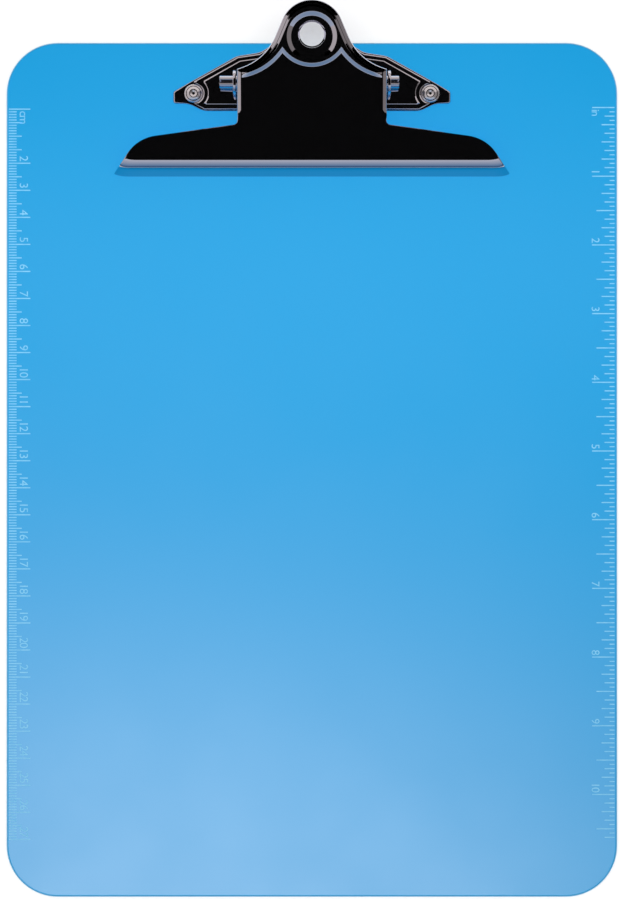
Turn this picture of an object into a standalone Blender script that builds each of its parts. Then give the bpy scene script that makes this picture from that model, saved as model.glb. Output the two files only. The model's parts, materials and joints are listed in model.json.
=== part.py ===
"""Clipboard with a sprung steel clip.

A rounded plastic board carries a pressed base held by two tubular rivets. Two ears bent up from the
base hold a rolled hinge tube, and on that tube turn the lever and the coils of its torsion spring.

Metres, +Z up, +Y towards the clip. The board lies on its back at z = 0, and the origin is the middle
of the whole object's footprint.
"""

import math

import bmesh
import bpy
from mathutils import Vector

MM = 0.001

# Board
BOARD_WIDTH = 226.0 * MM
BOARD_LENGTH = 316.0 * MM
BOARD_THICKNESS = 3.0 * MM
BOARD_CORNER_RADIUS = 19.0 * MM
BOARD_EDGE_ROUNDING = 0.6 * MM
BOARD_NOTCH_MARGIN = 0.9 * MM

# Clearances between pieces
SEAT_GAP = 0.3 * MM
HINGE_CLEARANCE = 0.3 * MM
RIVET_CLEARANCE = 0.3 * MM
EAR_CLEARANCE = 0.4 * MM
COIL_CLEARANCE = 0.45 * MM
COIL_BORE_CLEARANCE = 0.5 * MM

# Hinge tube, rolled from strip with its seam up
PIVOT_INSET = 15.7 * MM
TUBE_DIAMETER = 4.8 * MM
TUBE_WALL = 0.7 * MM
TUBE_SEAM = 1.0 * MM
TUBE_STUB_LEFT = 4.9 * MM
TUBE_STUB_RIGHT = 3.0 * MM

# Torsion spring
WIRE_DIAMETER = 1.8 * MM
COIL_TURNS = 7
COIL_PITCH = 2.3 * MM
POINTS_PER_TURN = 10
SPRING_ARM_LENGTH = 11.0 * MM

# Lever, pressed from sheet: v runs along it from the hinge axis, towards the handle
LEVER_SHEET = 1.0 * MM
LEVER_TILT = math.radians(13)
BODY_HALF_WIDTH = 27.2 * MM
JAW_HALF_WIDTH = 74.2 * MM
JAW_ROOT_V = -14.7 * MM
JAW_SHOULDER_X = 64.3 * MM
JAW_SHOULDER_V = -19.8 * MM
JAW_SHOULDER_RADIUS = 16.0 * MM
JAW_ROOT_RADIUS = 1.5 * MM
JAW_CORNER_RADIUS = 1.2 * MM
LIP_BEND_V = -27.6 * MM
LIP_BEND_RADIUS = 4.4 * MM
LIP_BEND_ANGLE = math.radians(52)
FLANGE_FRONT_V = -11.9 * MM
FLANGE_PROUD = 0.2 * MM
FLANGE_EYE_RADIUS = 4.2 * MM

# Handle of the lever: a raised thumb plate with a scalloped step, turned-down rim and dished hole
HANDLE_RADIUS = 11.7 * MM
HANDLE_CENTRE_V = 18.8 * MM
HANDLE_SHOULDER_V = 5.3 * MM
HANDLE_FLARE_X = 16.8 * MM
HANDLE_FLARE_V = 9.1 * MM
HANDLE_FLARE_RADIUS = 20.0 * MM
HANDLE_STEP = 0.8 * MM
HANDLE_STEP_SLOPE = 1.2 * MM
HANDLE_RIM_DEPTH = 1.6 * MM
HANDLE_RIM_SETBACK = 0.3 * MM
SCALLOP_DIP_V = 6.1 * MM
SCALLOP_RADIUS = 14.1 * MM
SCALLOP_CUSP_X = 10.7 * MM
SCALLOP_SIDE_RADIUS = 23.5 * MM
SCALLOP_SPARE = 0.1 * MM
HANGING_HOLE_SETBACK = 0.7 * MM
HANGING_HOLE_RADIUS = 5.0 * MM
DISH_RADIUS = 9.4 * MM
DISH_FLOOR_RADIUS = 6.7 * MM
DISH_DEPTH = 0.9 * MM

# Base, pressed from sheet: y runs from the hinge axis
BASE_SHEET = 1.2 * MM
PLATEAU_RISE = 1.9 * MM
PLATEAU_SLOPE = 1.5 * MM
PLATEAU_BORDER = 0.8 * MM
PLATEAU_RIVET_RADIUS = 4.0 * MM
PLATEAU_HOLLOW_SPAN = math.radians(80)
BASE_FRONT_Y = -9.8 * MM
WING_REACH = 51.3 * MM
WING_LOW_Y = -7.1 * MM
WING_HIGH_Y = -2.5 * MM
WING_EDGE_LENGTH = 5.8 * MM
WING_FLARE_LENGTH = 5.4 * MM
WING_CORNER_RADIUS = 1.2 * MM
BASE_SHOULDER_X = 27.7 * MM
BASE_SHOULDER_Y = 10.6 * MM
BASE_FLARE_X = 19.2 * MM
BASE_FLARE_Y = 11.9 * MM
BASE_FLARE_RADIUS = 8.0 * MM
TONGUE_RADIUS = 10.8 * MM
TONGUE_CENTRE_Y = 17.0 * MM
TONGUE_HOLE_Y = 18.4 * MM
TONGUE_HOLE_RADIUS = 4.5 * MM
EAR_FOOT_HALF = 6.0 * MM
EAR_TOP_RADIUS = 4.4 * MM
EAR_WINDOW_LENGTH = 8.0 * MM

# Tubular rivets, their flat heads sunk in the board's back
RIVET_MARGIN = 7.6 * MM
RIVET_Y = -3.3 * MM
RIVET_SHANK_RADIUS = 1.8 * MM
RIVET_HEAD_RADIUS = 4.5 * MM
RIVET_HEAD_THICKNESS = 0.9 * MM
RIVET_HEAD_SINK = 0.2 * MM
RIVET_ROLL_RADIUS = 3.15 * MM
RIVET_ROLL_HEIGHT = 1.0 * MM
RIVET_DIMPLE_RADIUS = 1.2 * MM
RIVET_DIMPLE_DEPTH = 1.6 * MM

# Facets of round shapes, and how far cutters stand past the walls that they cut
ARC_STEP = math.radians(11.25)
ROUND_SIDES = 32
OVERCUT = 2.0 * MM

# Heights above the board's top face
BASE_LOW = SEAT_GAP
BASE_HIGH = BASE_LOW + BASE_SHEET
PLATEAU_LOW = BASE_LOW + PLATEAU_RISE
PLATEAU_HIGH = PLATEAU_LOW + BASE_SHEET
TUBE_RADIUS = TUBE_DIAMETER / 2
WIRE_RADIUS = WIRE_DIAMETER / 2
COIL_RADIUS = TUBE_RADIUS + COIL_BORE_CLEARANCE + WIRE_RADIUS
COIL_OUTER_RADIUS = COIL_RADIUS + WIRE_RADIUS
PIVOT_HEIGHT = PLATEAU_HIGH + COIL_CLEARANCE + COIL_OUTER_RADIUS

# Heights above the hinge axis, square to the lever's plate
PLATE_LOW = COIL_OUTER_RADIUS + COIL_CLEARANCE
PLATE_HIGH = PLATE_LOW + LEVER_SHEET
HANDLE_HIGH = PLATE_HIGH + HANDLE_STEP
RIM_LOW = PLATE_LOW - HANDLE_RIM_DEPTH

# Places along the lever
SCALLOP_LOBE = 2 * (HANDLE_RIM_SETBACK + HANDLE_STEP_SLOPE) + SCALLOP_SPARE
SCALLOP_END_V = HANDLE_SHOULDER_V - SCALLOP_LOBE
HANGING_HOLE_V = HANDLE_CENTRE_V - HANGING_HOLE_SETBACK
HANDLE_TIP_V = HANDLE_CENTRE_V + HANDLE_RADIUS

# Places across and along the whole object
WING_ROOT_X = WING_REACH - WING_EDGE_LENGTH
BASE_FRONT_HALF = WING_ROOT_X - WING_FLARE_LENGTH
RIVET_X = WING_REACH - RIVET_MARGIN
FLANGE_OUTER = BODY_HALF_WIDTH + FLANGE_PROUD
EAR_INNER = FLANGE_OUTER + EAR_CLEARANCE
EAR_OUTER = EAR_INNER + BASE_SHEET
HANDLE_REACH = HANDLE_TIP_V * math.cos(LEVER_TILT) - RIM_LOW * math.sin(LEVER_TILT)
OVERHANG = HANDLE_REACH - PIVOT_INSET
BOARD_TOP_Y = (BOARD_LENGTH - OVERHANG) / 2
PIVOT_Y = BOARD_TOP_Y - PIVOT_INSET
PIVOT_Z = BOARD_THICKNESS + PIVOT_HEIGHT


def clear_scene():
    for obj in list(bpy.data.objects):
        bpy.data.objects.remove(obj, do_unlink=True)


def material(name, colour, roughness, metallic):
    made = bpy.data.materials.new(name)
    made.use_nodes = True
    shader = made.node_tree.nodes["Principled BSDF"]
    shader.inputs["Base Color"].default_value = (*colour, 1.0)
    shader.inputs["Roughness"].default_value = roughness
    shader.inputs["Metallic"].default_value = metallic
    return made


def frame(name, location, tilt=0.0):
    """An empty that carries the pieces modelled around it."""
    empty = bpy.data.objects.new(name, None)
    empty.location = location
    empty.rotation_euler = (tilt, 0.0, 0.0)
    bpy.context.scene.collection.objects.link(empty)
    return empty


def arc(centre, radius, start, end):
    """Points on a circle, from one angle to another."""
    count = max(2, math.ceil(abs(end - start) / ARC_STEP))
    angles = [start + (end - start) * i / count for i in range(count + 1)]
    return [Vector(centre) + radius * Vector((math.cos(a), math.sin(a))) for a in angles]


def arc_between(centre, start, end):
    """Points on a circle round centre, the short way from one point to another."""
    first = start - centre
    turn = math.atan2(first.cross(end - centre), first.dot(end - centre))
    angle = math.atan2(first.y, first.x)
    return arc(centre, first.length, angle, angle + turn)


def bow(start, end, radius):
    """Points on an arc of that radius whose centre lies to the left of the way from start to end."""
    way = end - start
    left = Vector((-way.y, way.x)).normalized()
    rise = math.sqrt(radius**2 - (way.length / 2) ** 2)
    return arc_between((start + end) / 2 + left * rise, start, end)


def rounded(corners):
    """Open outline through (x, y, radius) corners, each turned by a tangent arc of its radius."""
    places = [Vector(corner[:2]) for corner in corners]
    outline = places[:1]
    for before, at, after, corner in zip(places, places[1:], places[2:], corners[1:]):
        back = (before - at).normalized()
        ahead = (after - at).normalized()
        half = back.angle(ahead) / 2
        reach = corner[2] / math.tan(half)
        centre = at + (back + ahead).normalized() * corner[2] / math.sin(half)
        outline += arc_between(centre, at + back * reach, at + ahead * reach)
    return outline + places[-1:]


def mirrored(half):
    """Closed outline from a right half that starts and ends on the middle line."""
    left = [Vector((-point.x, point.y)) for point in reversed(half[1:-1])]
    return half + left


def inset(outline, distance):
    """Closed anticlockwise outline moved inwards, its corners mitred."""
    moved = []
    for i, at in enumerate(outline):
        back = (at - outline[i - 1]).normalized()
        ahead = (outline[(i + 1) % len(outline)] - at).normalized()
        normal = Vector((-back.y, back.x))
        middle = (normal + Vector((-ahead.y, ahead.x))).normalized()
        moved.append(at + middle * distance / middle.dot(normal))
    return moved


def circle(radius, centre=(0.0, 0.0), sides=ROUND_SIDES):
    turns = [math.tau * i / sides for i in range(sides)]
    return [Vector(centre) + radius * Vector((math.cos(a), math.sin(a))) for a in turns]


def solid(name, rings, parent, across=False):
    """Closed solid through (outline, level) rings. Levels run up Z or, with across, along X."""
    shape = bmesh.new()
    loops = []
    for outline, level in rings:
        places = [(level, p.x, p.y) if across else (p.x, p.y, level) for p in outline]
        loops.append([shape.verts.new(place) for place in places])
    shape.faces.new(reversed(loops[0]))
    shape.faces.new(loops[-1])
    for lower, upper in zip(loops, loops[1:]):
        for i in range(len(lower)):
            shape.faces.new((lower[i - 1], lower[i], upper[i], upper[i - 1]))
    mesh = bpy.data.meshes.new(name)
    shape.to_mesh(mesh)
    shape.free()
    mesh.shade_smooth()
    mesh.set_sharp_from_angle(angle=math.radians(30))
    made = bpy.data.objects.new(name, mesh)
    made.parent = parent
    bpy.context.scene.collection.objects.link(made)
    return made


def prism(name, outline, low, high, parent, across=False):
    return solid(name, [(outline, low), (outline, high)], parent, across)


def combine(target, helper, operation):
    """Adds a helper shape to a piece, cuts it away or keeps only what both share."""
    helper.hide_render = True
    helper.display_type = "WIRE"
    modifier = target.modifiers.new(helper.name, "BOOLEAN")
    modifier.operation = operation
    modifier.object = helper


def build_board(plastic):
    half_width = BOARD_WIDTH / 2
    half_length = BOARD_LENGTH / 2
    pivot_y = half_length - PIVOT_INSET
    middle = frame("board_frame", (0.0, BOARD_TOP_Y - half_length, 0.0))
    notch_radius = TONGUE_HOLE_RADIUS + BOARD_NOTCH_MARGIN
    notch_y = pivot_y + TONGUE_HOLE_Y
    lean = math.asin((half_length - notch_y) / notch_radius)
    notch = arc((0.0, notch_y), notch_radius, lean, -math.pi / 2)
    corners = [
        (0.0, -half_length, 0.0),
        (half_width, -half_length, BOARD_CORNER_RADIUS),
        (half_width, half_length, BOARD_CORNER_RADIUS),
        (*notch[0], 0.0),
    ]
    outline = mirrored(rounded(corners)[:-1] + notch)
    board = prism("board", outline, 0.0, BOARD_THICKNESS, middle)
    board.data.materials.append(plastic)
    edges = board.modifiers.new("edge_rounding", "BEVEL")
    edges.width = BOARD_EDGE_ROUNDING
    edges.segments = 2
    edges.limit_method = "ANGLE"
    edges.angle_limit = math.radians(40)
    head_room = RIVET_HEAD_SINK + RIVET_HEAD_THICKNESS + SEAT_GAP
    top = BOARD_THICKNESS + OVERCUT
    for side, x in (("left", -RIVET_X), ("right", RIVET_X)):
        hole = circle(RIVET_SHANK_RADIUS + RIVET_CLEARANCE, (x, pivot_y + RIVET_Y))
        sink = circle(RIVET_HEAD_RADIUS + RIVET_CLEARANCE, (x, pivot_y + RIVET_Y))
        combine(board, prism(f"cut_rivet_{side}", hole, -OVERCUT, top, middle), "DIFFERENCE")
        combine(board, prism(f"cut_head_{side}", sink, -OVERCUT, head_room, middle), "DIFFERENCE")


def tongue_end():
    """Half of the tongue's round end, from its right side to its tip."""
    return arc((0.0, TONGUE_CENTRE_Y), TONGUE_RADIUS, 0.0, math.pi / 2)


def base_outline():
    corners = [
        (0.0, BASE_FRONT_Y, 0.0),
        (BASE_FRONT_HALF, BASE_FRONT_Y, BASE_FLARE_RADIUS),
        (WING_ROOT_X, WING_LOW_Y, BASE_FLARE_RADIUS),
        (WING_REACH, WING_LOW_Y, WING_CORNER_RADIUS),
        (WING_REACH, WING_HIGH_Y, WING_CORNER_RADIUS),
        (BASE_SHOULDER_X, BASE_SHOULDER_Y, BASE_FLARE_RADIUS),
        (BASE_FLARE_X, BASE_FLARE_Y, BASE_FLARE_RADIUS),
        (TONGUE_RADIUS, TONGUE_CENTRE_Y, 0.0),
    ]
    return mirrored(rounded(corners)[:-1] + tongue_end())


def plateau_foot():
    """Outline of the base's raised middle: the base's own edge set in, and hollowed round each rivet."""
    rivet = Vector((RIVET_X, RIVET_Y))
    front = BASE_FRONT_Y + PLATEAU_BORDER
    slant = Vector((BASE_SHOULDER_X - WING_REACH, BASE_SHOULDER_Y - WING_HIGH_Y)).normalized()
    across = Vector((slant.y, -slant.x))
    shoulder = Vector((BASE_SHOULDER_X, BASE_SHOULDER_Y)) - across * PLATEAU_BORDER
    low_angle = math.pi + PLATEAU_HOLLOW_SPAN / 2
    hollow = arc(rivet, PLATEAU_RIVET_RADIUS, low_angle, low_angle - PLATEAU_HOLLOW_SPAN)
    slant_start = shoulder + slant * (hollow[-1].x - shoulder.x) / slant.x
    tongue = arc((0.0, TONGUE_CENTRE_Y), TONGUE_RADIUS - PLATEAU_BORDER, 0.0, math.pi / 2)
    right = [Vector((0.0, front)), Vector((hollow[0].x, front)), *hollow]
    right += [slant_start, shoulder, Vector((BASE_FLARE_X, BASE_FLARE_Y - PLATEAU_BORDER))]
    return mirrored(right + tongue)


def build_base(steel):
    seat = frame("base_frame", (0.0, PIVOT_Y, BOARD_THICKNESS))
    base = prism("clip_base", base_outline(), BASE_LOW, BASE_HIGH, seat)
    base.data.materials.append(steel)
    foot = plateau_foot()
    crown = inset(foot, PLATEAU_SLOPE)
    middle = (BASE_LOW + BASE_HIGH) / 2
    raised = [(foot, middle), (foot, BASE_HIGH), (crown, PLATEAU_HIGH)]
    combine(base, solid("add_plateau", raised, seat), "UNION")
    room = inset(foot, BASE_SHEET)
    combine(base, prism("cut_plateau", room, -OVERCUT, PLATEAU_LOW, seat), "DIFFERENCE")
    add_ears(base, seat)
    tongue_hole = circle(TONGUE_HOLE_RADIUS, (0.0, TONGUE_HOLE_Y))
    top = PLATEAU_HIGH + OVERCUT
    combine(base, prism("cut_tongue_hole", tongue_hole, -OVERCUT, top, seat), "DIFFERENCE")
    for side, x in (("left", -RIVET_X), ("right", RIVET_X)):
        hole = circle(RIVET_SHANK_RADIUS + RIVET_CLEARANCE, (x, RIVET_Y))
        combine(base, prism(f"cut_base_{side}", hole, -OVERCUT, top, seat), "DIFFERENCE")


def add_ears(base, seat):
    """Two upright ears with the hinge tube's holes, and the windows that they were bent up from."""
    foot_low = (PLATEAU_LOW + PLATEAU_HIGH) / 2
    axis = Vector((0.0, PIVOT_HEIGHT))
    round_top = arc(axis, EAR_TOP_RADIUS, math.radians(20), math.radians(160))
    foot = [Vector((-EAR_FOOT_HALF, foot_low)), Vector((EAR_FOOT_HALF, foot_low))]
    bore = circle(TUBE_RADIUS + HINGE_CLEARANCE, axis)
    window_half = EAR_WINDOW_LENGTH / 2
    window_outer = EAR_INNER - BASE_SHEET / 2
    window_inner = EAR_INNER - (PIVOT_HEIGHT + EAR_TOP_RADIUS - PLATEAU_HIGH)
    for side, sign in (("left", -1), ("right", 1)):
        walls = sorted((sign * EAR_INNER, sign * EAR_OUTER))
        combine(base, prism(f"add_ear_{side}", foot + round_top, *walls, seat, True), "UNION")
        window = [
            Vector((sign * window_inner, sign * -window_half)),
            Vector((sign * window_outer, sign * -window_half)),
            Vector((sign * window_outer, sign * window_half)),
            Vector((sign * window_inner, sign * window_half)),
        ]
        top = PLATEAU_HIGH + OVERCUT
        combine(base, prism(f"cut_window_{side}", window, -OVERCUT, top, seat), "DIFFERENCE")
    reach = EAR_OUTER + OVERCUT
    combine(base, prism("cut_ear_bores", bore, -reach, reach, seat, True), "DIFFERENCE")


def lip_profile():
    """Side profile (v, height) of the flat plate and the lip bent down at its front edge."""
    centre = Vector((LIP_BEND_V, PLATE_HIGH - LIP_BEND_RADIUS))
    bent = math.pi / 2 + LIP_BEND_ANGLE
    outer = arc(centre, LIP_BEND_RADIUS, math.pi / 2, bent)
    inner = arc(centre, LIP_BEND_RADIUS - LEVER_SHEET, math.pi / 2, bent)
    way = Vector((-math.cos(LIP_BEND_ANGLE), -math.sin(LIP_BEND_ANGLE)))
    bend_end_z = inner[-1].x * math.sin(LEVER_TILT) + inner[-1].y * math.cos(LEVER_TILT)
    drop = bend_end_z - (SEAT_GAP - PIVOT_HEIGHT)
    length = drop / math.sin(LIP_BEND_ANGLE + LEVER_TILT)
    back = HANDLE_TIP_V + OVERCUT
    upper = [Vector((back, PLATE_HIGH))] + outer + [outer[-1] + way * length]
    lower = [inner[-1] + way * length] + inner[::-1] + [Vector((back, PLATE_LOW))]
    return upper + lower, upper[-1].x


def handle_edge():
    """Right half of the handle's outer edge, from its shoulder to the tip."""
    flare = Vector((HANDLE_FLARE_X, HANDLE_FLARE_V))
    away = flare - Vector((0.0, HANDLE_CENTRE_V))
    lean = math.atan2(away.y, away.x) + math.acos(HANDLE_RADIUS / away.length)
    tip = arc((0.0, HANDLE_CENTRE_V), HANDLE_RADIUS, lean, math.pi / 2)
    shoulder = (BODY_HALF_WIDTH, HANDLE_SHOULDER_V, 0.0)
    turns = [shoulder, (*flare, HANDLE_FLARE_RADIUS), (*tip[0], 0.0)]
    return rounded(turns)[:-1] + tip


def lever_outline(lip_v):
    corners = [
        (0.0, lip_v, 0.0),
        (JAW_HALF_WIDTH, lip_v, JAW_CORNER_RADIUS),
        (JAW_SHOULDER_X, JAW_SHOULDER_V, JAW_SHOULDER_RADIUS),
        (BODY_HALF_WIDTH, JAW_ROOT_V, JAW_ROOT_RADIUS),
        (BODY_HALF_WIDTH, HANDLE_SHOULDER_V, 0.0),
    ]
    return mirrored(rounded(corners)[:-1] + handle_edge())


def handle_outline():
    """The raised handle: the lever's outer edge, closed by three scallops across the body."""
    reach = math.asin(SCALLOP_CUSP_X / SCALLOP_RADIUS)
    low = -math.pi / 2
    middle = arc((0.0, SCALLOP_DIP_V + SCALLOP_RADIUS), SCALLOP_RADIUS, low, low + reach)
    side = bow(middle[-1], Vector((BODY_HALF_WIDTH, SCALLOP_END_V)), SCALLOP_SIDE_RADIUS)
    return mirrored(middle + side[1:] + handle_edge())


def build_lever(steel):
    hinge = frame("lever_frame", (0.0, PIVOT_Y, PIVOT_Z), LEVER_TILT)
    profile, lip_v = lip_profile()
    wide = JAW_HALF_WIDTH + OVERCUT
    lever = prism("clip_lever", profile, -wide, wide, hinge, True)
    lever.data.materials.append(steel)
    top = HANDLE_HIGH + OVERCUT
    plan = lever_outline(lip_v - SEAT_GAP)
    combine(lever, prism("keep_outline", plan, -PIVOT_HEIGHT, top, hinge), "INTERSECT")
    add_handle(lever, hinge)
    add_flanges(lever, hinge)


def add_handle(lever, hinge):
    outline = handle_outline()
    foot = inset(outline, HANDLE_RIM_SETBACK)
    crown = inset(foot, HANDLE_STEP_SLOPE)
    middle = (PLATE_LOW + PLATE_HIGH) / 2
    raised = [(foot, middle), (foot, PLATE_HIGH), (crown, HANDLE_HIGH)]
    combine(lever, solid("add_handle", raised, hinge), "UNION")
    edge = handle_edge()
    edge += [Vector((-point.x, point.y)) for point in reversed(edge[:-1])]
    outer = inset(edge, HANDLE_RIM_SETBACK / 2)[1:-1]
    inner = inset(edge, HANDLE_RIM_SETBACK / 2 + LEVER_SHEET)[1:-1]
    rim = outer + inner[::-1]
    combine(lever, prism("add_rim", rim, RIM_LOW, middle, hinge), "UNION")
    room = inset(foot, LEVER_SHEET)
    low = RIM_LOW - OVERCUT
    ceiling = HANDLE_HIGH - LEVER_SHEET
    combine(lever, prism("cut_handle", room, low, ceiling, hinge), "DIFFERENCE")
    eye = (0.0, HANGING_HOLE_V)
    collar = circle(DISH_RADIUS, eye)
    floor = HANDLE_HIGH - DISH_DEPTH
    ring = (circle(DISH_RADIUS - LEVER_SHEET, eye), floor - LEVER_SHEET)
    seat = (collar, HANDLE_HIGH - LEVER_SHEET / 2)
    combine(lever, solid("add_dish", [ring, seat], hinge), "UNION")
    bowl = [(circle(DISH_FLOOR_RADIUS, eye), floor), (collar, HANDLE_HIGH)]
    rise = (DISH_RADIUS - DISH_FLOOR_RADIUS) * OVERCUT / DISH_DEPTH
    bowl.append((circle(DISH_RADIUS + rise, eye), HANDLE_HIGH + OVERCUT))
    combine(lever, solid("cut_dish", bowl, hinge), "DIFFERENCE")
    hole = circle(HANGING_HOLE_RADIUS, eye)
    combine(lever, prism("cut_hanging_hole", hole, low, HANDLE_HIGH + OVERCUT, hinge), "DIFFERENCE")


def add_flanges(lever, hinge):
    """Side walls bent down from the plate, with the eyes that turn on the hinge tube."""
    middle = (PLATE_LOW + PLATE_HIGH) / 2
    eye = arc((0.0, 0.0), FLANGE_EYE_RADIUS, math.radians(225), math.radians(360))
    wall = eye + [Vector((FLANGE_EYE_RADIUS, middle)), Vector((FLANGE_FRONT_V, middle))]
    wall.append(Vector((FLANGE_FRONT_V, PLATE_LOW - LEVER_SHEET)))
    for side, sign in (("left", -1), ("right", 1)):
        walls = sorted((sign * (FLANGE_OUTER - LEVER_SHEET), sign * FLANGE_OUTER))
        combine(lever, prism(f"add_flange_{side}", wall, *walls, hinge, True), "UNION")
    bore = circle(TUBE_RADIUS + HINGE_CLEARANCE)
    reach = FLANGE_OUTER + OVERCUT
    combine(lever, prism("cut_flange_bores", bore, -reach, reach, hinge, True), "DIFFERENCE")


def build_tube(steel, hinge):
    """The hinge tube: a C section rolled round the axis, longer past the left ear."""
    half_seam = math.asin(TUBE_SEAM / TUBE_DIAMETER)
    start = math.pi / 2 + half_seam
    end = start + math.tau - 2 * half_seam
    outer = arc((0.0, 0.0), TUBE_RADIUS, start, end)
    inner = arc((0.0, 0.0), TUBE_RADIUS - TUBE_WALL, start, end)
    left = -(EAR_OUTER + TUBE_STUB_LEFT)
    right = EAR_OUTER + TUBE_STUB_RIGHT
    tube = prism("hinge_tube", outer + inner[::-1], left, right, hinge, True)
    tube.data.materials.append(steel)


def spring_path():
    """The spring's wire: lever arm, coil and base arm. Both arms leave the coil towards the handle."""
    start = math.pi / 2 + LEVER_TILT
    end = math.tau * COIL_TURNS + 1.5 * math.pi
    count = round((end - start) / math.tau * POINTS_PER_TURN)
    length = COIL_PITCH * (end - start) / math.tau
    points = []
    for i in range(count + 1):
        angle = start + (end - start) * i / count
        x = length * (0.5 - i / count)
        points.append(Vector((x, COIL_RADIUS * math.cos(angle), COIL_RADIUS * math.sin(angle))))
    lever_way = Vector((0.0, math.cos(LEVER_TILT), math.sin(LEVER_TILT)))
    base_way = Vector((0.0, 1.0, 0.0))
    tips = (points[0] + lever_way * SPRING_ARM_LENGTH, points[-1] + base_way * SPRING_ARM_LENGTH)
    return [tips[0], *points, tips[1]]


def least_gap(path):
    """Least clear distance between stretches of wire that lie half a turn or more apart."""
    apart = POINTS_PER_TURN // 2
    pairs = ((a, b) for i, a in enumerate(path) for b in path[i + apart :])
    return min((a - b).length for a, b in pairs) - WIRE_DIAMETER


def build_spring(steel, hinge):
    path = spring_path()
    print(f"torsion_spring: least gap to itself {least_gap(path) / MM:.2f} mm")
    wire = bpy.data.curves.new("torsion_spring", "CURVE")
    wire.dimensions = "3D"
    wire.bevel_depth = WIRE_RADIUS
    wire.bevel_resolution = 1
    wire.use_fill_caps = True
    line = wire.splines.new("POLY")
    line.points.add(len(path) - 1)
    for place, point in zip(path, line.points):
        point.co = (*place, 1.0)
    wire.materials.append(steel)
    spring = bpy.data.objects.new("torsion_spring", wire)
    spring.parent = hinge
    bpy.context.scene.collection.objects.link(spring)


def build_rivets(steel):
    """Tubular rivets: flat head at the back, and the shank's end rolled outwards over the base."""
    seat = frame("rivet_frame", (0.0, PIVOT_Y, 0.0))
    head_high = RIVET_HEAD_SINK + RIVET_HEAD_THICKNESS
    roll_low = BOARD_THICKNESS + BASE_HIGH + SEAT_GAP
    roll_high = roll_low + RIVET_ROLL_HEIGHT
    roll_middle = (RIVET_ROLL_RADIUS + RIVET_DIMPLE_RADIUS) / 2
    profile = [
        (RIVET_HEAD_RADIUS, RIVET_HEAD_SINK),
        (RIVET_HEAD_RADIUS, head_high),
        (RIVET_SHANK_RADIUS, head_high),
        (RIVET_SHANK_RADIUS, roll_low),
        (RIVET_ROLL_RADIUS, roll_low),
        (RIVET_ROLL_RADIUS, roll_low + RIVET_ROLL_HEIGHT / 2),
        (roll_middle, roll_high),
        (RIVET_DIMPLE_RADIUS, roll_high - RIVET_ROLL_HEIGHT / 4),
        (RIVET_DIMPLE_RADIUS, roll_high - RIVET_DIMPLE_DEPTH),
    ]
    for side, x in (("left", -RIVET_X), ("right", RIVET_X)):
        rings = [(circle(radius, (x, RIVET_Y)), level) for radius, level in profile]
        rivet = solid(f"rivet_{side}", rings, seat)
        rivet.data.materials.append(steel)


def main():
    clear_scene()
    build_board(material("blue_plastic", (0.02, 0.36, 0.78), 0.3, 0.0))
    build_base(material("plated_base_steel", (0.78, 0.78, 0.8), 0.12, 1.0))
    build_lever(material("plated_lever_steel", (0.8, 0.8, 0.82), 0.1, 1.0))
    hinge = frame("hinge_frame", (0.0, PIVOT_Y, PIVOT_Z))
    build_tube(material("plated_tube_steel", (0.76, 0.77, 0.8), 0.15, 1.0), hinge)
    build_spring(material("spring_steel", (0.5, 0.5, 0.52), 0.3, 1.0), hinge)
    build_rivets(material("plated_rivet_steel", (0.74, 0.75, 0.78), 0.2, 1.0))


main()
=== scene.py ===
"""Looks of the clipboard: finer pieces over the CAD frame, their finishes, and the studio around them."""

import json
import math
from collections import Counter

import bpy
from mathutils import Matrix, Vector

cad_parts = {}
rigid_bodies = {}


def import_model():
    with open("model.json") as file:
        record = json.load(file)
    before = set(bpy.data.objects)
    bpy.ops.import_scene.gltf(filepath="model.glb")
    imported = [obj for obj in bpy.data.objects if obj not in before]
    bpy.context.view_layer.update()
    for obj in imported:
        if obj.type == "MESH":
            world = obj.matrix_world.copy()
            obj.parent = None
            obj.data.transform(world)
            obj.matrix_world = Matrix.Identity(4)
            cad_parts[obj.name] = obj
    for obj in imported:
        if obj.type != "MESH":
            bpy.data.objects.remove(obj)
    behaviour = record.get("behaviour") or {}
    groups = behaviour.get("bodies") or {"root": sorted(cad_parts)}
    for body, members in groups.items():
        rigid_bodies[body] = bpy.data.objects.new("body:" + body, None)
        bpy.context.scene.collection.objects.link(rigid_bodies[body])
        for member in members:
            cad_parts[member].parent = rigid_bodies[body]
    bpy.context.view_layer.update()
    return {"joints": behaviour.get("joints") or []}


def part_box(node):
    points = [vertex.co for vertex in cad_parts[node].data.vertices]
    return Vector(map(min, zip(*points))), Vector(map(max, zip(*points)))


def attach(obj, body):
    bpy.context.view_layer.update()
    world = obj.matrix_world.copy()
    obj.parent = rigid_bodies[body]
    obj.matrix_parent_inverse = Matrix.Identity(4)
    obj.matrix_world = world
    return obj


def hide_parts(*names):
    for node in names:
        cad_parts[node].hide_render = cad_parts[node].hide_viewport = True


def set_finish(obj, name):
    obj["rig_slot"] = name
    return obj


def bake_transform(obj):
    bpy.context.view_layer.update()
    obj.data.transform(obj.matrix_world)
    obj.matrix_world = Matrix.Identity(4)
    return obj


bl_info = {
    "name": "Clipboard",
    "version": (1, 0, 0),
    "blender": (4, 5, 0),
    "location": "View3D > Sidebar > Clipboard",
    "description": "Models and finishes a clipboard with a sprung steel clip, piece by piece",
    "category": "Add Mesh",
}

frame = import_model()

MM = 0.001
BOARD_LOW, BOARD_HIGH = (Vector(corner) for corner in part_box("board"))
BOARD_TOP = BOARD_HIGH.z
PIVOT = Vector(frame["joints"][0]["pos_m"])
ARC_STEP = math.radians(5)
MERGE = 0.002 * MM


# Settings


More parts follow.
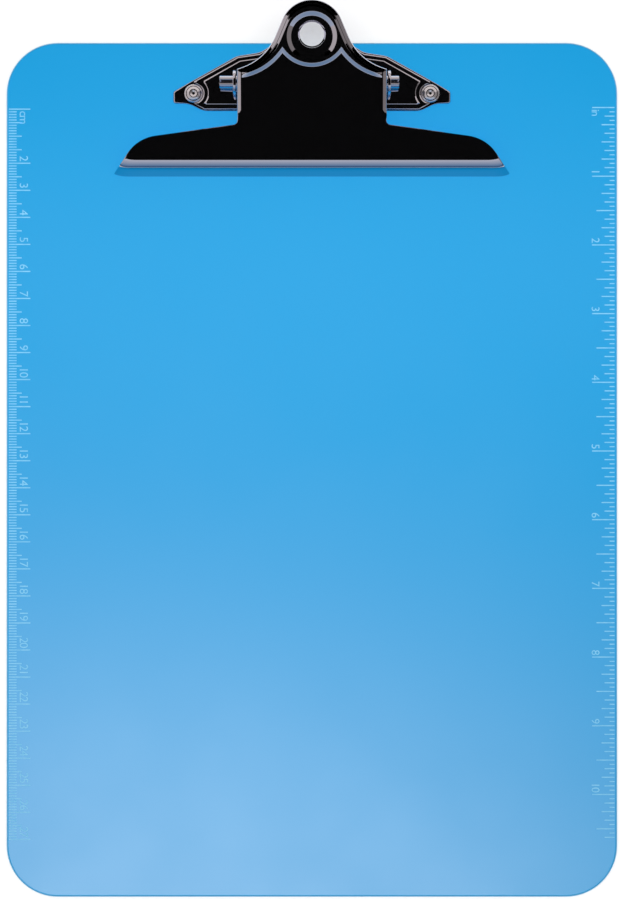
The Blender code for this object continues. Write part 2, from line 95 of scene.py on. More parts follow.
def linear(code):
    """Linear RGBA of an sRGB hex colour."""
    values = [int(code[i : i + 2], 16) / 255 for i in (1, 3, 5)]
    return [v / 12.92 if v <= 0.04045 else ((v + 0.055) / 1.055) ** 2.4 for v in values] + [1.0]


def length(name, description, millimetres):
    return bpy.props.FloatProperty(
        name=name, description=description, default=millimetres * MM, unit="LENGTH", precision=5
    )


def lengths(name, description, millimetres):
    return bpy.props.FloatVectorProperty(
        name=name,
        description=description,
        default=[value * MM for value in millimetres],
        size=len(millimetres),
        unit="LENGTH",
        precision=5,
    )


def angle(name, description, degrees):
    return bpy.props.FloatProperty(
        name=name, description=description, default=math.radians(degrees), subtype="ANGLE"
    )


def colour(name, description, code):
    return bpy.props.FloatVectorProperty(
        name=name, description=description, default=linear(code), size=4, subtype="COLOR", min=0, max=1
    )


def factor(name, description, value):
    return bpy.props.FloatProperty(name=name, description=description, default=value, min=0.0)


class BoardSettings(bpy.types.PropertyGroup):
    tint: colour("Plastic", "Colour of the moulded sheet", "#00A2E3")
    # glow is painted light: a paler colour on the rim's sides that stands in for light coming out of the
    # sheet's edge
    glow: colour("Rim", "Colour of the rim, where light that the sheet gathers comes out", "#C4E8F8")
    roughness: factor("Roughness", "Roughness of the moulded face", 0.32)
    corner: length("Corner radius", "Radius of the board's four corners", 19.0)
    edge: length("Edge rounding", "Rounding of the board's rim", 0.85)
    notch: length("Notch radius", "Radius of the hanging notch in the top edge", 5.4)
    notch_offset: length("Notch place", "Distance of the notch's centre from the hinge axis", 18.4)
    rivet_x: length("Rivet place across", "Distance of the rivets from the middle", 43.7)
    rivet_y: length("Rivet place along", "Place of the rivets from the hinge axis", -3.3)
    sink_radius: length("Rivet seat radius", "Radius of the seat in the back for a rivet head", 4.8)
    sink_depth: length("Rivet seat depth", "Depth of the seat in the back for a rivet head", 1.4)
    bore: length("Rivet bore", "Radius of the hole for a rivet", 2.1)


class ScaleSettings(bpy.types.PropertyGroup):
    ink: colour("Ink", "Colour of the printed scales", "#8ED4F7")
    line: length("Line", "Width of a printed line", 0.42)
    film: length("Film", "Height of the ink over the plastic", 0.02)
    gap: length("Gap", "Gap between a numeral and its line", 0.6)
    cm_zero: length("Centimetre zero", "Place of the centimetre scale's zero from the top edge", 24.6)
    cm_span: length("Centimetre span", "Length of the centimetre scale", 270.0)
    cm_free: length("Centimetre mark's place", "Stretch from zero that holds the unit mark", 20.0)
    cm_ends: lengths(
        "Centimetre lines",
        "Where the lines start, and where each longer kind ends, from the left edge",
        (0.9, 3.8, 5.7, 8.9),
    )
    cm_foot: length("Centimetre numerals' foot", "Foot of the numerals from the left edge", 4.95)
    cm_height: length("Centimetre numerals", "Size of the centimetre numerals", 4.45)
    spacing: factor("Digit spacing", "Spacing of a numeral's digits, 1 for the font's own", 0.84)
    inch_zero: length("Inch zero", "Place of the inch scale's zero from the top edge", 24.0)
    inch_span: length("Inch span", "Length of the inch scale", 269.875)
    inch_free: length("Inch mark's place", "Stretch from zero that holds the unit mark", 25.4)
    inch_ends: lengths(
        "Inch lines",
        "Where the lines start, and where each longer kind ends, from the right edge",
        (1.1, 2.95, 4.8, 5.9, 7.8, 9.4),
    )
    inch_foot: length("Inch numerals' foot", "Foot of the numerals from the right edge", 9.55)
    inch_height: length("Inch numerals", "Size of the inch numerals", 4.2)


class LeverSettings(bpy.types.PropertyGroup):
    tilt: angle("Tilt", "Slope of the lever's plate at rest", 13)
    sheet: length("Sheet", "Thickness of the pressed sheet", 1.0)
    high: length("Plate height", "Height of the plate's top over the hinge axis", 6.15)
    body: length("Body half width", "Half of the width between the flanges' outer faces", 27.4)
    jaw: length("Jaw half width", "Half of the jaw's width at the lip", 73.9)
    root_v: length("Jaw root", "Where the jaw leaves the body", -14.7)
    root_radius: length("Jaw root radius", "Rounding where the jaw leaves the body", 1.5)
    shoulder_x: length("Jaw shoulder across", "Half width at the jaw's shoulder", 64.3)
    shoulder_v: length("Jaw shoulder along", "Place of the jaw's shoulder", -19.8)
    shoulder_radius: length("Jaw shoulder radius", "Rounding of the jaw's shoulder", 15.0)
    bend_v: length("Lip bend", "Where the lip starts to bend down", -27.03)
    bend_radius: length("Lip bend radius", "Outer radius of the lip's bend", 6.4)
    bend_angle: angle("Lip bend angle", "How far the lip is bent down", 54)
    lip_length: length("Lip", "Length of the straight part of the lip", 4.75)
    curl: length("Lip curl", "How far the lip's bend curls up at the jaw's ends", 1.1)
    curl_reach: length("Lip curl reach", "Length of the curl at each end", 6.0)
    flange_front: length("Flange front", "Front end of the side flanges", -11.9)
    flange_back: length("Flange back", "Back end of the side flanges", 4.2)
    eye: length("Eye radius", "Outer radius of the flanges' round eyes", 4.2)
    bore: length("Eye bore", "Radius of the bore that turns on the hinge tube", 2.7)
    fade: length("Roll fade", "Length over which the rolled sides rise from the jaw", 2.4)
    roll: length("Edge roll", "Outer radius of the rolled sides and rim", 1.5)
    rim: length("Rim", "Depth of the handle's rim under the plate's top", 2.6)
    handle: length("Handle radius", "Radius of the handle's round end", 11.7)
    handle_v: length("Handle centre", "Place of the handle's round end", 18.8)
    handle_shoulder: length("Handle shoulder", "Where the handle starts to narrow", 5.3)
    flare_x: length("Handle flare across", "Corner of the handle's flare, across", 16.8)
    flare_v: length("Handle flare along", "Corner of the handle's flare, along", 9.1)
    flare_radius: length("Handle flare radius", "Radius of the handle's flare", 20.0)
    step: length("Handle step", "Rise of the handle over the plate", 0.7)
    slope: length("Step slope", "Width of the scalloped step's slope", 1.55)
    rim_slope: length("Rim slope", "Width of the slope inside the rim", 0.9)
    dip: length("Scallop dip", "Lowest point of the middle scallop", 6.2)
    scallop: length("Scallop radius", "Radius of the middle scallop", 14.1)
    cusp: length("Scallop cusp", "Distance of the scallops' points from the middle", 10.7)
    side: length("Side scallop radius", "Radius of the side scallops", 23.5)
    side_end: length("Side scallop end", "Where the side scallops reach the body's sides", 2.1)
    hole_v: length("Hole place", "Place of the hanging hole", 18.1)
    hole: length("Hole radius", "Radius of the hanging hole", 5.0)
    dish_v: length("Dish place", "Place of the dish's middle", 17.3)
    dish: length("Dish radius", "Radius of the dish round the hanging hole", 9.3)
    dish_floor: length("Dish floor radius", "Radius of the dish's flat floor", 7.4)
    dish_depth: length("Dish depth", "Depth of the dish", 0.75)
    edge: length("Edge rounding", "Rounding of the sheet's cut edges", 0.4)


class BaseSettings(bpy.types.PropertyGroup):
    sheet: length("Sheet", "Thickness of the pressed sheet", 1.2)
    seat: length("Seat gap", "Gap between the base and the board", 0.3)
    rise: length("Plateau rise", "Rise of the raised middle", 1.9)
    wall: length("Step wall", "Width of the steep wall under each of the two steps", 0.14)
    chamfer: length("Step chamfer", "Width of the chamfer along each step", 0.5)
    chamfer_angle: angle("Chamfer angle", "Slope of the chamfer along each step", 30)
    border: length("Border", "Width of the low border", 0.5)
    ledge: length("Ledge", "Distance from the first step to the second", 1.7)
    front: length("Front", "Front edge from the hinge axis", -9.8)
    front_half: length("Front half width", "Half length of the straight front edge", 40.1)
    root_x: length("Wing root", "Where the wing's front edge starts", 45.5)
    reach: length("Wing reach", "Half width over the wings", 51.3)
    wing_low: length("Wing front", "Front edge of the wings", -7.1)
    wing_high: length("Wing back", "Back edge of the wings", -2.5)
    shoulder_x: length("Shoulder across", "Corner of the shoulder, across", 27.7)
    shoulder_y: length("Shoulder along", "Corner of the shoulder, along", 10.6)
    flare_x: length("Flare across", "Corner of the flare to the tongue, across", 19.2)
    flare_y: length("Flare along", "Corner of the flare to the tongue, along", 11.9)
    flare_radius: length("Flare radius", "Rounding of the outline's wide corners", 8.0)
    corner: length("Wing corner radius", "Rounding of the wings' corners", 1.2)
    tongue: length("Tongue radius", "Radius of the tongue's round end", 10.8)
    tongue_y: length("Tongue centre", "Centre of the tongue's round end", 17.0)
    hole: length("Tongue hole radius", "Radius of the hole in the tongue", 4.5)
    hole_y: length("Tongue hole place", "Place of the hole in the tongue", 18.4)
    hollow: length("Rivet hollow", "Radius of the first step's foot round a rivet", 3.55)
    hollow_half: length("Hollow half width", "Half of the opening of the hollow round a rivet", 3.85)
    setback: length("Front setback", "How far the raised middle's front corners are set back", 0.3)
    ear: length("Ear place", "Distance of the ears' inner faces from the middle", 27.8)
    ear_radius: length("Ear radius", "Radius of the ears' round tops", 4.4)
    ear_foot: length("Ear foot", "Half length of the ears' feet", 6.0)
    ear_bore: length("Ear bore", "Radius of the bore for the hinge tube", 2.7)
    window: length("Window", "Length of the window that an ear was bent up from", 8.0)
    edge: length("Edge rounding", "Rounding of the sheet's cut edges", 0.35)
    end_edge: length("Wing end rounding", "Rounding of the wings' ends", 0.8)


class HingeSettings(bpy.types.PropertyGroup):
    radius: length("Tube radius", "Outer radius of the hinge tube", 2.4)
    wall: length("Tube wall", "Thickness of the rolled strip", 0.7)
    seam: length("Seam", "Gap between the strip's edges", 1.4)
    edge: length("Edge rounding", "Rounding of the strip's edges", 0.28)
    wire: length("Wire", "Diameter of the spring's wire", 1.8)
    coil: length("Coil radius", "Mean radius of the coil", 3.8)
    pitch: length("Coil pitch", "Distance between the coil's turns", 2.3)
    arm: length("Spring arm", "Length of the spring's straight arms", 11.0)
    turns: bpy.props.IntProperty(name="Turns", description="Whole turns of the coil", default=7)


class FinishSettings(bpy.types.PropertyGroup):
    plating: colour("Plating", "Colour of the bright nickel plating", "#CFCDD6")
    rivets: colour("Rivets", "Colour of the rivets' plating", "#E2E1E6")
    wire: colour("Spring wire", "Colour of the drawn spring wire", "#A2A2A6")
    roughness: factor("Plating roughness", "Roughness of the bright plating", 0.025)
    rivet_roughness: factor("Rivet roughness", "Roughness of the rivets' satin plating", 0.16)
    wire_roughness: factor("Wire roughness", "Roughness of the drawn wire", 0.22)


class StageSettings(bpy.types.PropertyGroup):
    paper: colour("Floor", "Colour of the floor", "#F7F7F8")
    clear: length("Floor gap", "Gap between the floor and the board's back", 0.2)
    distance: length("Camera distance", "Height of the camera over the board's face", 1100.0)
    view: length("View height", "Length that fills the picture from top to bottom", 332.8)
    centre_x: length("View centre across", "Middle of the picture, across", 0.4)
    centre_y: length("View centre along", "Middle of the picture, along", 0.75)
    key: factor("Key light", "Power of the key light over the board in watts", 5.9)
    key_place: lengths("Key light's place", "Middle of the key light", (-70.0, -380.0, 1200.0))
    key_aim: lengths("Key light's aim", "Point that the key light faces", (0.0, -50.0, 0.0))
    key_size: lengths("Key light's size", "Width and depth of the key light", (600.0, 300.0))
    top: factor("Top light", "Power of the strip light over the clip in watts", 0.6)
    top_place: lengths("Top light's place", "Middle of the strip light", (0.0, 90.0, 290.0))
    top_aim: lengths("Top light's aim", "Point that the strip light faces", (0.0, 90.0, 0.0))
    top_size: lengths("Top light's size", "Width and depth of the strip light", (600.0, 100.0))
    floor: factor("Floor light", "Strength of the wide, soft light on the floor alone", 3.1)
    spread: angle("Floor light's width", "How wide the light on the floor is", 110)
    dome: factor("Dome", "Strength of the even light from all round", 0.3)
    screen: colour("Screen", "Colour of the lit screen in front of the clip, at its top", "#D3D6DE")
    screen_foot: colour("Screen's foot", "Colour of the front screen's lower part", "#7696B7")
    screen_hem: colour("Screen's hem", "Colour of the front screen's lowest edge", "#0B4A7E")
    back: colour("Back screen", "Colour of the screen behind the clip", "#E0D6D2")
    left: colour("Left screen", "Colour of the screen on the left", "#C8C0BE")
    right: colour("Right screen", "Colour of the dimmer screen on the right", "#8A8482")


# Outlines


def arc(centre, radius, start, end):
    """Points on a circle, from one angle to another."""
    count = max(2, math.ceil(abs(end - start) / ARC_STEP))
    angles = [start + (end - start) * i / count for i in range(count + 1)]
    return [Vector(centre) + radius * Vector((math.cos(a), math.sin(a))) for a in angles]


def arc_between(centre, start, end):
    """Points on a circle round centre, the short way from one point to another."""
    first = start - centre
    turn = math.atan2(first.cross(end - centre), first.dot(end - centre))
    heading = math.atan2(first.y, first.x)
    return arc(centre, first.length, heading, heading + turn)


def bow_centre(start, end, radius):
    """Centre, to the left of the way from start to end, of an arc that joins them."""
    way = end - start
    left = Vector((-way.y, way.x)).normalized()
    return (start + end) / 2 + left * math.sqrt(radius**2 - (way.length / 2) ** 2)


def rounded(corners):
    """Open outline through (x, y, radius) corners, each turned by a tangent arc of its radius."""
    places = [Vector(corner[:2]) for corner in corners]
    outline = places[:1]
    for before, at, after, corner in zip(places, places[1:], places[2:], corners[1:]):
        back = (before - at).normalized()
        ahead = (after - at).normalized()
        half = back.angle(ahead) / 2
        reach = corner[2] / math.tan(half)
        centre = at + (back + ahead).normalized() * corner[2] / math.sin(half)
        outline += arc_between(centre, at + back * reach, at + ahead * reach)
    return outline + places[-1:]


def mirrored(half):
    """Outline from a right half, with its left half added in turn."""
    left = [Vector((-p.x, p.y)) for p in reversed(half)]
    start = 1 if abs(half[-1].x) < MERGE else 0
    end = -1 if abs(half[0].x) < MERGE else len(left)
    return half + left[start:end]


def shifted(path, distance):
    """Open path moved to its left, its corners mitred."""
    moved = []
    for i, at in enumerate(path):
        back = at - path[i - 1] if i else path[1] - at
        ahead = path[i + 1] - at if i + 1 < len(path) else back
        normal = Vector((-back.y, back.x)).normalized()
        middle = (normal + Vector((-ahead.y, ahead.x)).normalized()).normalized()
        moved.append(at + middle * distance / middle.dot(normal))
    return moved


def crossing(centre_a, radius_a, centre_b, radius_b):
    """Point where two circles cross, to the right of the way from the first centre to the second."""
    way = centre_b - centre_a
    along = (way.length_squared + radius_a**2 - radius_b**2) / (2 * way.length)
    across = math.sqrt(radius_a**2 - along**2)
    ahead = way.normalized()
    return centre_a + ahead * along + Vector((ahead.y, -ahead.x)) * across


def raised(path, height):
    return [Vector((p.x, p.y, height)) for p in path]


def evenly(path, count):
    """The same path with that many points, evenly spaced along it."""
    marks = [0.0]
    for a, b in zip(path, path[1:]):
        marks.append(marks[-1] + (b - a).length)
    points = []
    for i in range(count):
        goal = marks[-1] * i / (count - 1)
        k = next(j for j in range(1, len(path)) if marks[j] >= goal - MERGE or j == len(path) - 1)
        span = marks[k] - marks[k - 1]
        points.append(path[k - 1].lerp(path[k], min(1.0, (goal - marks[k - 1]) / span)))
    return points


# A pressed slope is round over this share of its width at its foot and at its head. Its rows of points, as
# shares of its width, lie closest there.
EASE = 0.16
SLOPE_ROWS = (0.0, 0.05, 0.1, EASE, 0.5, 1.0 - EASE, 0.9, 0.95, 1.0)


def eased(t):
    """Height of a pressed slope with a small round at its foot and head, from 0 to 1."""
    if t > 0.5:
        return 1.0 - eased(1.0 - t)
    steep = 1.0 / (1.0 - EASE)
    return steep * t * t / (2 * EASE) if t < EASE else steep * (t - EASE / 2)


# Modelling


def deselect():
    bpy.ops.object.select_all(action="DESELECT")


def face(points, filled=True):
    """A flat face, or only its outline: a circle whose points are moved to their places."""
    deselect()
    bpy.ops.mesh.primitive_circle_add(
        vertices=len(points), radius=MM, fill_type="NGON" if filled else "NOTHING"
    )
    made = bpy.context.object
    for vertex, place in zip(made.data.vertices, points):
        vertex.co = place
    return made


def sheet(rows):
    """A sheet through rows of points: a grid whose points are moved to their places."""
    deselect()
    bpy.ops.mesh.primitive_grid_add(x_subdivisions=len(rows[0]) - 1, y_subdivisions=len(rows) - 1, size=MM)
    made = bpy.context.object
    places = [place for row in rows for place in row]
    if len(places) != len(made.data.vertices):
        raise RuntimeError("a sheet's rows do not match its grid")
    for vertex, place in zip(made.data.vertices, places):
        vertex.co = place
    return made


def turned(profile, centre):
    """A turned shape through (radius, height) pairs round an upright axis."""
    rows = []
    for radius, height in profile:
        ring = arc(centre, radius, 0.0, math.tau)
        rows.append(raised(ring, height))
    return sheet(rows)


def join(pieces, name):
    """One object from several, their doubles merged and their faces turned one way."""
    deselect()
    for piece in pieces:
        piece.select_set(True)
    bpy.context.view_layer.objects.active = pieces[0]
    bpy.ops.object.join()
    made = bpy.context.object
    made.name = name
    made.data.name = name
    bpy.ops.object.mode_set(mode="EDIT")
    bpy.ops.mesh.select_all(action="SELECT")
    bpy.ops.mesh.remove_doubles(threshold=MERGE)
    bpy.ops.mesh.dissolve_degenerate(threshold=MERGE)
    bpy.ops.mesh.select_all(action="SELECT")
    bpy.ops.mesh.normals_make_consistent(inside=False)
    bpy.ops.object.mode_set(mode="OBJECT")
    return made


def fill_between(outer, inner):
    """A flat face between an outline and the holes in it."""
    made = join([face(outer, False), *(face(hole, False) for hole in inner)], "flat")
    bpy.ops.object.mode_set(mode="EDIT")
    bpy.ops.mesh.select_all(action="SELECT")
    bpy.ops.mesh.fill(use_beauty=True)
    bpy.ops.object.mode_set(mode="OBJECT")
    return made


def face_up(obj):
    """Turns a sheet over where most of it faces down."""
    if sum(p.normal.z * p.area for p in obj.data.polygons) < 0:
        bpy.ops.object.mode_set(mode="EDIT")
        bpy.ops.mesh.select_all(action="SELECT")
        bpy.ops.mesh.flip_normals()
        bpy.ops.object.mode_set(mode="OBJECT")


def modify(obj, kind, **settings):
    """Adds a modifier with its settings and applies it."""
    deselect()
    obj.select_set(True)
    bpy.context.view_layer.objects.active = obj
    modifier = obj.modifiers.new(kind.lower(), kind)
    for key, value in settings.items():
        setattr(modifier, key, value)
    bpy.ops.object.modifier_apply(modifier=modifier.name)


def combine(obj, helper, operation="DIFFERENCE"):
    """Cuts a helper shape out of a piece, or adds it."""
    modify(obj, "BOOLEAN", object=helper, operation=operation, solver="EXACT")
    bpy.data.objects.remove(helper)


SHARP = math.radians(65)


def ease_edges(obj, width, segments=2):
    """Rounds the sharp edges of a solid piece."""
    modify(
        obj,
        "BEVEL",
        width=width,
        segments=segments,
        limit_method="ANGLE",
        angle_limit=SHARP,
        use_clamp_overlap=False,
    )


def thicken(obj, thickness, edge_width):
    """Gives a sheet its thickness, under the side it shows, and rounds its cut edges alone."""
    uses = Counter(key for polygon in obj.data.polygons for key in polygon.edge_keys)
    weights = obj.data.attributes.new("bevel_weight_edge", "FLOAT", "EDGE")
    for edge, weight in zip(obj.data.edges, weights.data):
        weight.value = 1.0 if uses[edge.key] == 1 else 0.0
    modify(obj, "SOLIDIFY", thickness=thickness, offset=-1.0, use_even_offset=False, use_rim=True)
    modify(obj, "BEVEL", width=edge_width, segments=2, limit_method="WEIGHT", use_clamp_overlap=False)


def cylinder(radius, centre, low, high, axis="Z", sides=48):
    """A round cutter between two levels of an axis."""
    deselect()
    turn = (0.0, math.pi / 2, 0.0) if axis == "X" else (0.0, 0.0, 0.0)
    middle = Vector(centre)
    middle["XYZ".index(axis)] = (low + high) / 2
    bpy.ops.mesh.primitive_cylinder_add(
        vertices=sides, radius=radius, depth=high - low, location=middle, rotation=turn
    )
    return bpy.context.object


def block(low, high):
    """A box between two corners."""
    deselect()
    low, high = Vector(low), Vector(high)
    bpy.ops.mesh.primitive_cube_add(size=1.0, location=(low + high) / 2, scale=high - low)
    bpy.ops.object.transform_apply(location=True, rotation=True, scale=True)
    return bpy.context.object


def thick_plate(outline, way):
    """A solid plate: a face extruded by a vector."""
    made = face(outline)
    bpy.ops.object.mode_set(mode="EDIT")
    bpy.ops.mesh.select_all(action="SELECT")
    bpy.ops.mesh.extrude_region_move(TRANSFORM_OT_translate={"value": way})
    bpy.ops.mesh.select_all(action="SELECT")
    bpy.ops.mesh.normals_make_consistent(inside=False)
    bpy.ops.object.mode_set(mode="OBJECT")
    return made


def place(obj, location, tilt=0.0):
    """Turns and moves a piece to its place and puts that place into its mesh."""
    deselect()
    obj.select_set(True)
    bpy.context.view_layer.objects.active = obj
    obj.rotation_euler = (tilt, 0.0, 0.0)
    obj.location = location
    bpy.ops.object.transform_apply(location=True, rotation=True, scale=True)


def dress(obj, body, slot, finish, nodes=(), smooth=40):
    """Shades a finished piece smooth up to an angle, gives it its material and sets it on its body."""
    deselect()
    obj.select_set(True)
    bpy.context.view_layer.objects.active = obj
    bpy.ops.object.shade_smooth_by_angle(angle=math.radians(smooth))
    modify(obj, "WEIGHTED_NORMAL", mode="FACE_AREA", weight=100, keep_sharp=True)
    obj.data.materials.clear()
    obj.data.materials.append(finish)
    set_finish(obj, slot)
    if nodes:
        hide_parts(*nodes)
    if body:
        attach(obj, body)


# Finishes


def node(tree, kind, inputs=(), **settings):
    """Adds a shader node, sets its options, and sets or links its inputs."""
    made = tree.nodes.new(kind)
    for key, value in settings.items():
        setattr(made, key, value)
    for key, value in dict(inputs).items():
        if isinstance(value, bpy.types.NodeSocket):
            tree.links.new(value, made.inputs[key])
        else:
            made.inputs[key].default_value = value
    return made


def new_material(name):
    """A material and its empty node tree, or no tree where the material is already there."""
    made = bpy.data.materials.get(name)
    if made:
        return made, None
    made = bpy.data.materials.new(name)
    made.use_nodes = True
    made.node_tree.nodes.clear()
    return made, made.node_tree


# Sizes of the patterns in the finishes
MOULD_GRAIN = 0.9 * MM
GRAIN_DEPTH = 0.05 * MM
HANDLING_MARKS = 45 * MM
INK_CLOUDS = 2.5 * MM
METAL_SMEARS = 14 * MM


def moulded_polystyrene(settings):
    """Tinted sheet from a polished mould: even saturated blue, a rim made paler by a painted glow, a soft
    satin sheen.
    """
    made, tree = new_material("moulded polystyrene")
    if tree:
        where = node(tree, "ShaderNodeTexCoord")
        grain = node(
            tree,
            "ShaderNodeTexNoise",
            {"Vector": where.outputs["Object"], "Scale": 1 / MOULD_GRAIN, "Detail": 2.0},
        )
        bump = node(
            tree,
            "ShaderNodeBump",
            {"Height": grain.outputs["Fac"], "Strength": 0.06, "Distance": GRAIN_DEPTH},
        )
        handling = node(
            tree,
            "ShaderNodeTexNoise",
            {"Vector": where.outputs["Object"], "Scale": 1 / HANDLING_MARKS, "Detail": 4.0},
        )
        worn = 0.015
        sheen = node(
            tree,
            "ShaderNodeMapRange",
            {
                "Value": handling.outputs["Fac"],
                "From Min": 0.3,
                "From Max": 0.7,
                "To Min": settings.roughness - worn,
                "To Max": settings.roughness + worn,
            },
        )
        # Painted glow: a paler colour on the rim stands in for light coming out of the sheet's edge. It
        # grows from none on the flat faces, which face along Z, to full on the rim's side
        painted_glow_facing = node(tree, "ShaderNodeSeparateXYZ", {"Vector": where.outputs["Normal"]})
        flat = node(tree, "ShaderNodeMath", {0: painted_glow_facing.outputs["Z"]}, operation="ABSOLUTE")
        rim = node(
            tree,
            "ShaderNodeMapRange",
            {"Value": flat.outputs[0], "From Min": 0.3, "From Max": 0.97, "To Min": 1.0, "To Max": 0.0},
        )
        blue = node(
            tree,
            "ShaderNodeMix",
            {0: rim.outputs["Result"], 6: settings.tint, 7: settings.glow},
            data_type="RGBA",
        )
        shader = node(
            tree,
            "ShaderNodeBsdfPrincipled",
            {
                "Base Color": blue.outputs[2],
                "Roughness": sheen.outputs["Result"],
                "IOR": 1.59,
                "Normal": bump.outputs["Normal"],
            },
        )
        node(tree, "ShaderNodeOutputMaterial", {"Surface": shader.outputs["BSDF"]})
    return made


def screen_ink(settings, plastic):
    """Thin pale ink printed on the plastic: the blue shows through it, and it is flatter than the sheet."""
    made, tree = new_material("screen printed ink")
    if tree:
        where = node(tree, "ShaderNodeTexCoord")
        film = node(
            tree,
            "ShaderNodeTexNoise",
            {"Vector": where.outputs["Object"], "Scale": 1 / INK_CLOUDS, "Detail": 2.0},
        )
        thinnest = 0.3
        cover = node(
            tree,
            "ShaderNodeMapRange",
            {
                "Value": film.outputs["Fac"],
                "From Min": 0.3,
                "From Max": 0.7,
                "To Min": 0.0,
                "To Max": thinnest,
            },
        )
        blue = node(
            tree,
            "ShaderNodeMix",
            {0: cover.outputs["Result"], 6: settings.ink, 7: plastic},
            data_type="RGBA",
        )
        shader = node(
            tree,
            "ShaderNodeBsdfPrincipled",
            {"Base Color": blue.outputs[2], "Roughness": 0.85, "IOR": 1.3},
        )
        node(tree, "ShaderNodeOutputMaterial", {"Surface": shader.outputs["BSDF"]})
    return made


def bright_metal(name, tint, roughness):
    """Plated metal: a near mirror with faint handling smears that blur it unevenly."""
    made, tree = new_material(name)
    if tree:
        where = node(tree, "ShaderNodeTexCoord")
        smears = node(
            tree,
            "ShaderNodeTexNoise",
            {"Vector": where.outputs["Object"], "Scale": 1 / METAL_SMEARS, "Detail": 3.0},
        )
        blurred = 1.5
        spread = node(
            tree,
            "ShaderNodeMapRange",
            {
                "Value": smears.outputs["Fac"],
                "From Min": 0.35,
                "From Max": 0.75,
                "To Min": roughness,
                "To Max": roughness * blurred,
            },
        )
        shader = node(
            tree,
            "ShaderNodeBsdfPrincipled",
            {"Base Color": tint, "Metallic": 1.0, "Roughness": spread.outputs["Result"]},
        )
        node(tree, "ShaderNodeOutputMaterial", {"Surface": shader.outputs["BSDF"]})
    return made


def bright_nickel(settings):
    """Bright nickel on pressed steel: nearly a mirror, faintly warm grey to lavender."""
    return bright_metal("bright nickel plate", settings.plating, settings.roughness)


# Pieces


CORNER_STEPS = 18
RIM_STEPS = 4


class CLIPBOARD_OT_board(bpy.types.Operator):
    """Models the moulded board with its hanging notch and the rivets' seats"""

    bl_idname = "clipboard.board"
    bl_label = "Board"

    def execute(self, context):
        s = context.scene.clipboard_board
        board = block(BOARD_LOW, BOARD_HIGH)
        board.name = "moulded_board"
        bpy.ops.object.mode_set(mode="EDIT")
        bpy.ops.mesh.select_mode(type="EDGE")
        bpy.ops.mesh.select_all(action="DESELECT")
        bpy.ops.object.mode_set(mode="OBJECT")
        points = board.data.vertices
        for edge in board.data.edges:
            ends = [points[i].co.z for i in edge.vertices]
            edge.select = abs(ends[0] - ends[1]) > MERGE
        bpy.ops.object.mode_set(mode="EDIT")
        bpy.ops.mesh.bevel(offset=s.corner, segments=CORNER_STEPS, affect="EDGES")
        bpy.ops.object.mode_set(mode="OBJECT")
        low = BOARD_LOW.z - s.corner
        high = BOARD_TOP + s.corner
        combine(board, cylinder(s.notch, (0.0, PIVOT.y + s.notch_offset, 0.0), low, high))
        ease_edges(board, s.edge, RIM_STEPS)
        for x in (-s.rivet_x, s.rivet_x):
            where = (x, PIVOT.y + s.rivet_y, 0.0)
            combine(board, cylinder(s.bore, where, low, high))
            combine(board, cylinder(s.sink_radius, where, low, BOARD_LOW.z + s.sink_depth))
        dress(board, "board", "board_plastic", moulded_polystyrene(s), ["board"])
        return {"FINISHED"}


def lettering(text, size, x, y, s, align="RIGHT"):
    """A printed numeral or unit mark that reads down the board, its foot at x and its end at y."""
    deselect()
    bpy.ops.object.text_add(location=(x, y, BOARD_TOP), rotation=(0.0, 0.0, -math.pi / 2))
    made = bpy.context.object
    made.data.body = text
    made.data.size = size
    made.data.align_x = align
    made.data.space_character = s.spacing
    made.data.extrude = s.film
    made.data.resolution_u = 4
    bpy.ops.object.convert(target="MESH")
    bpy.ops.object.transform_apply(location=True, rotation=True, scale=True)
    return bpy.context.object


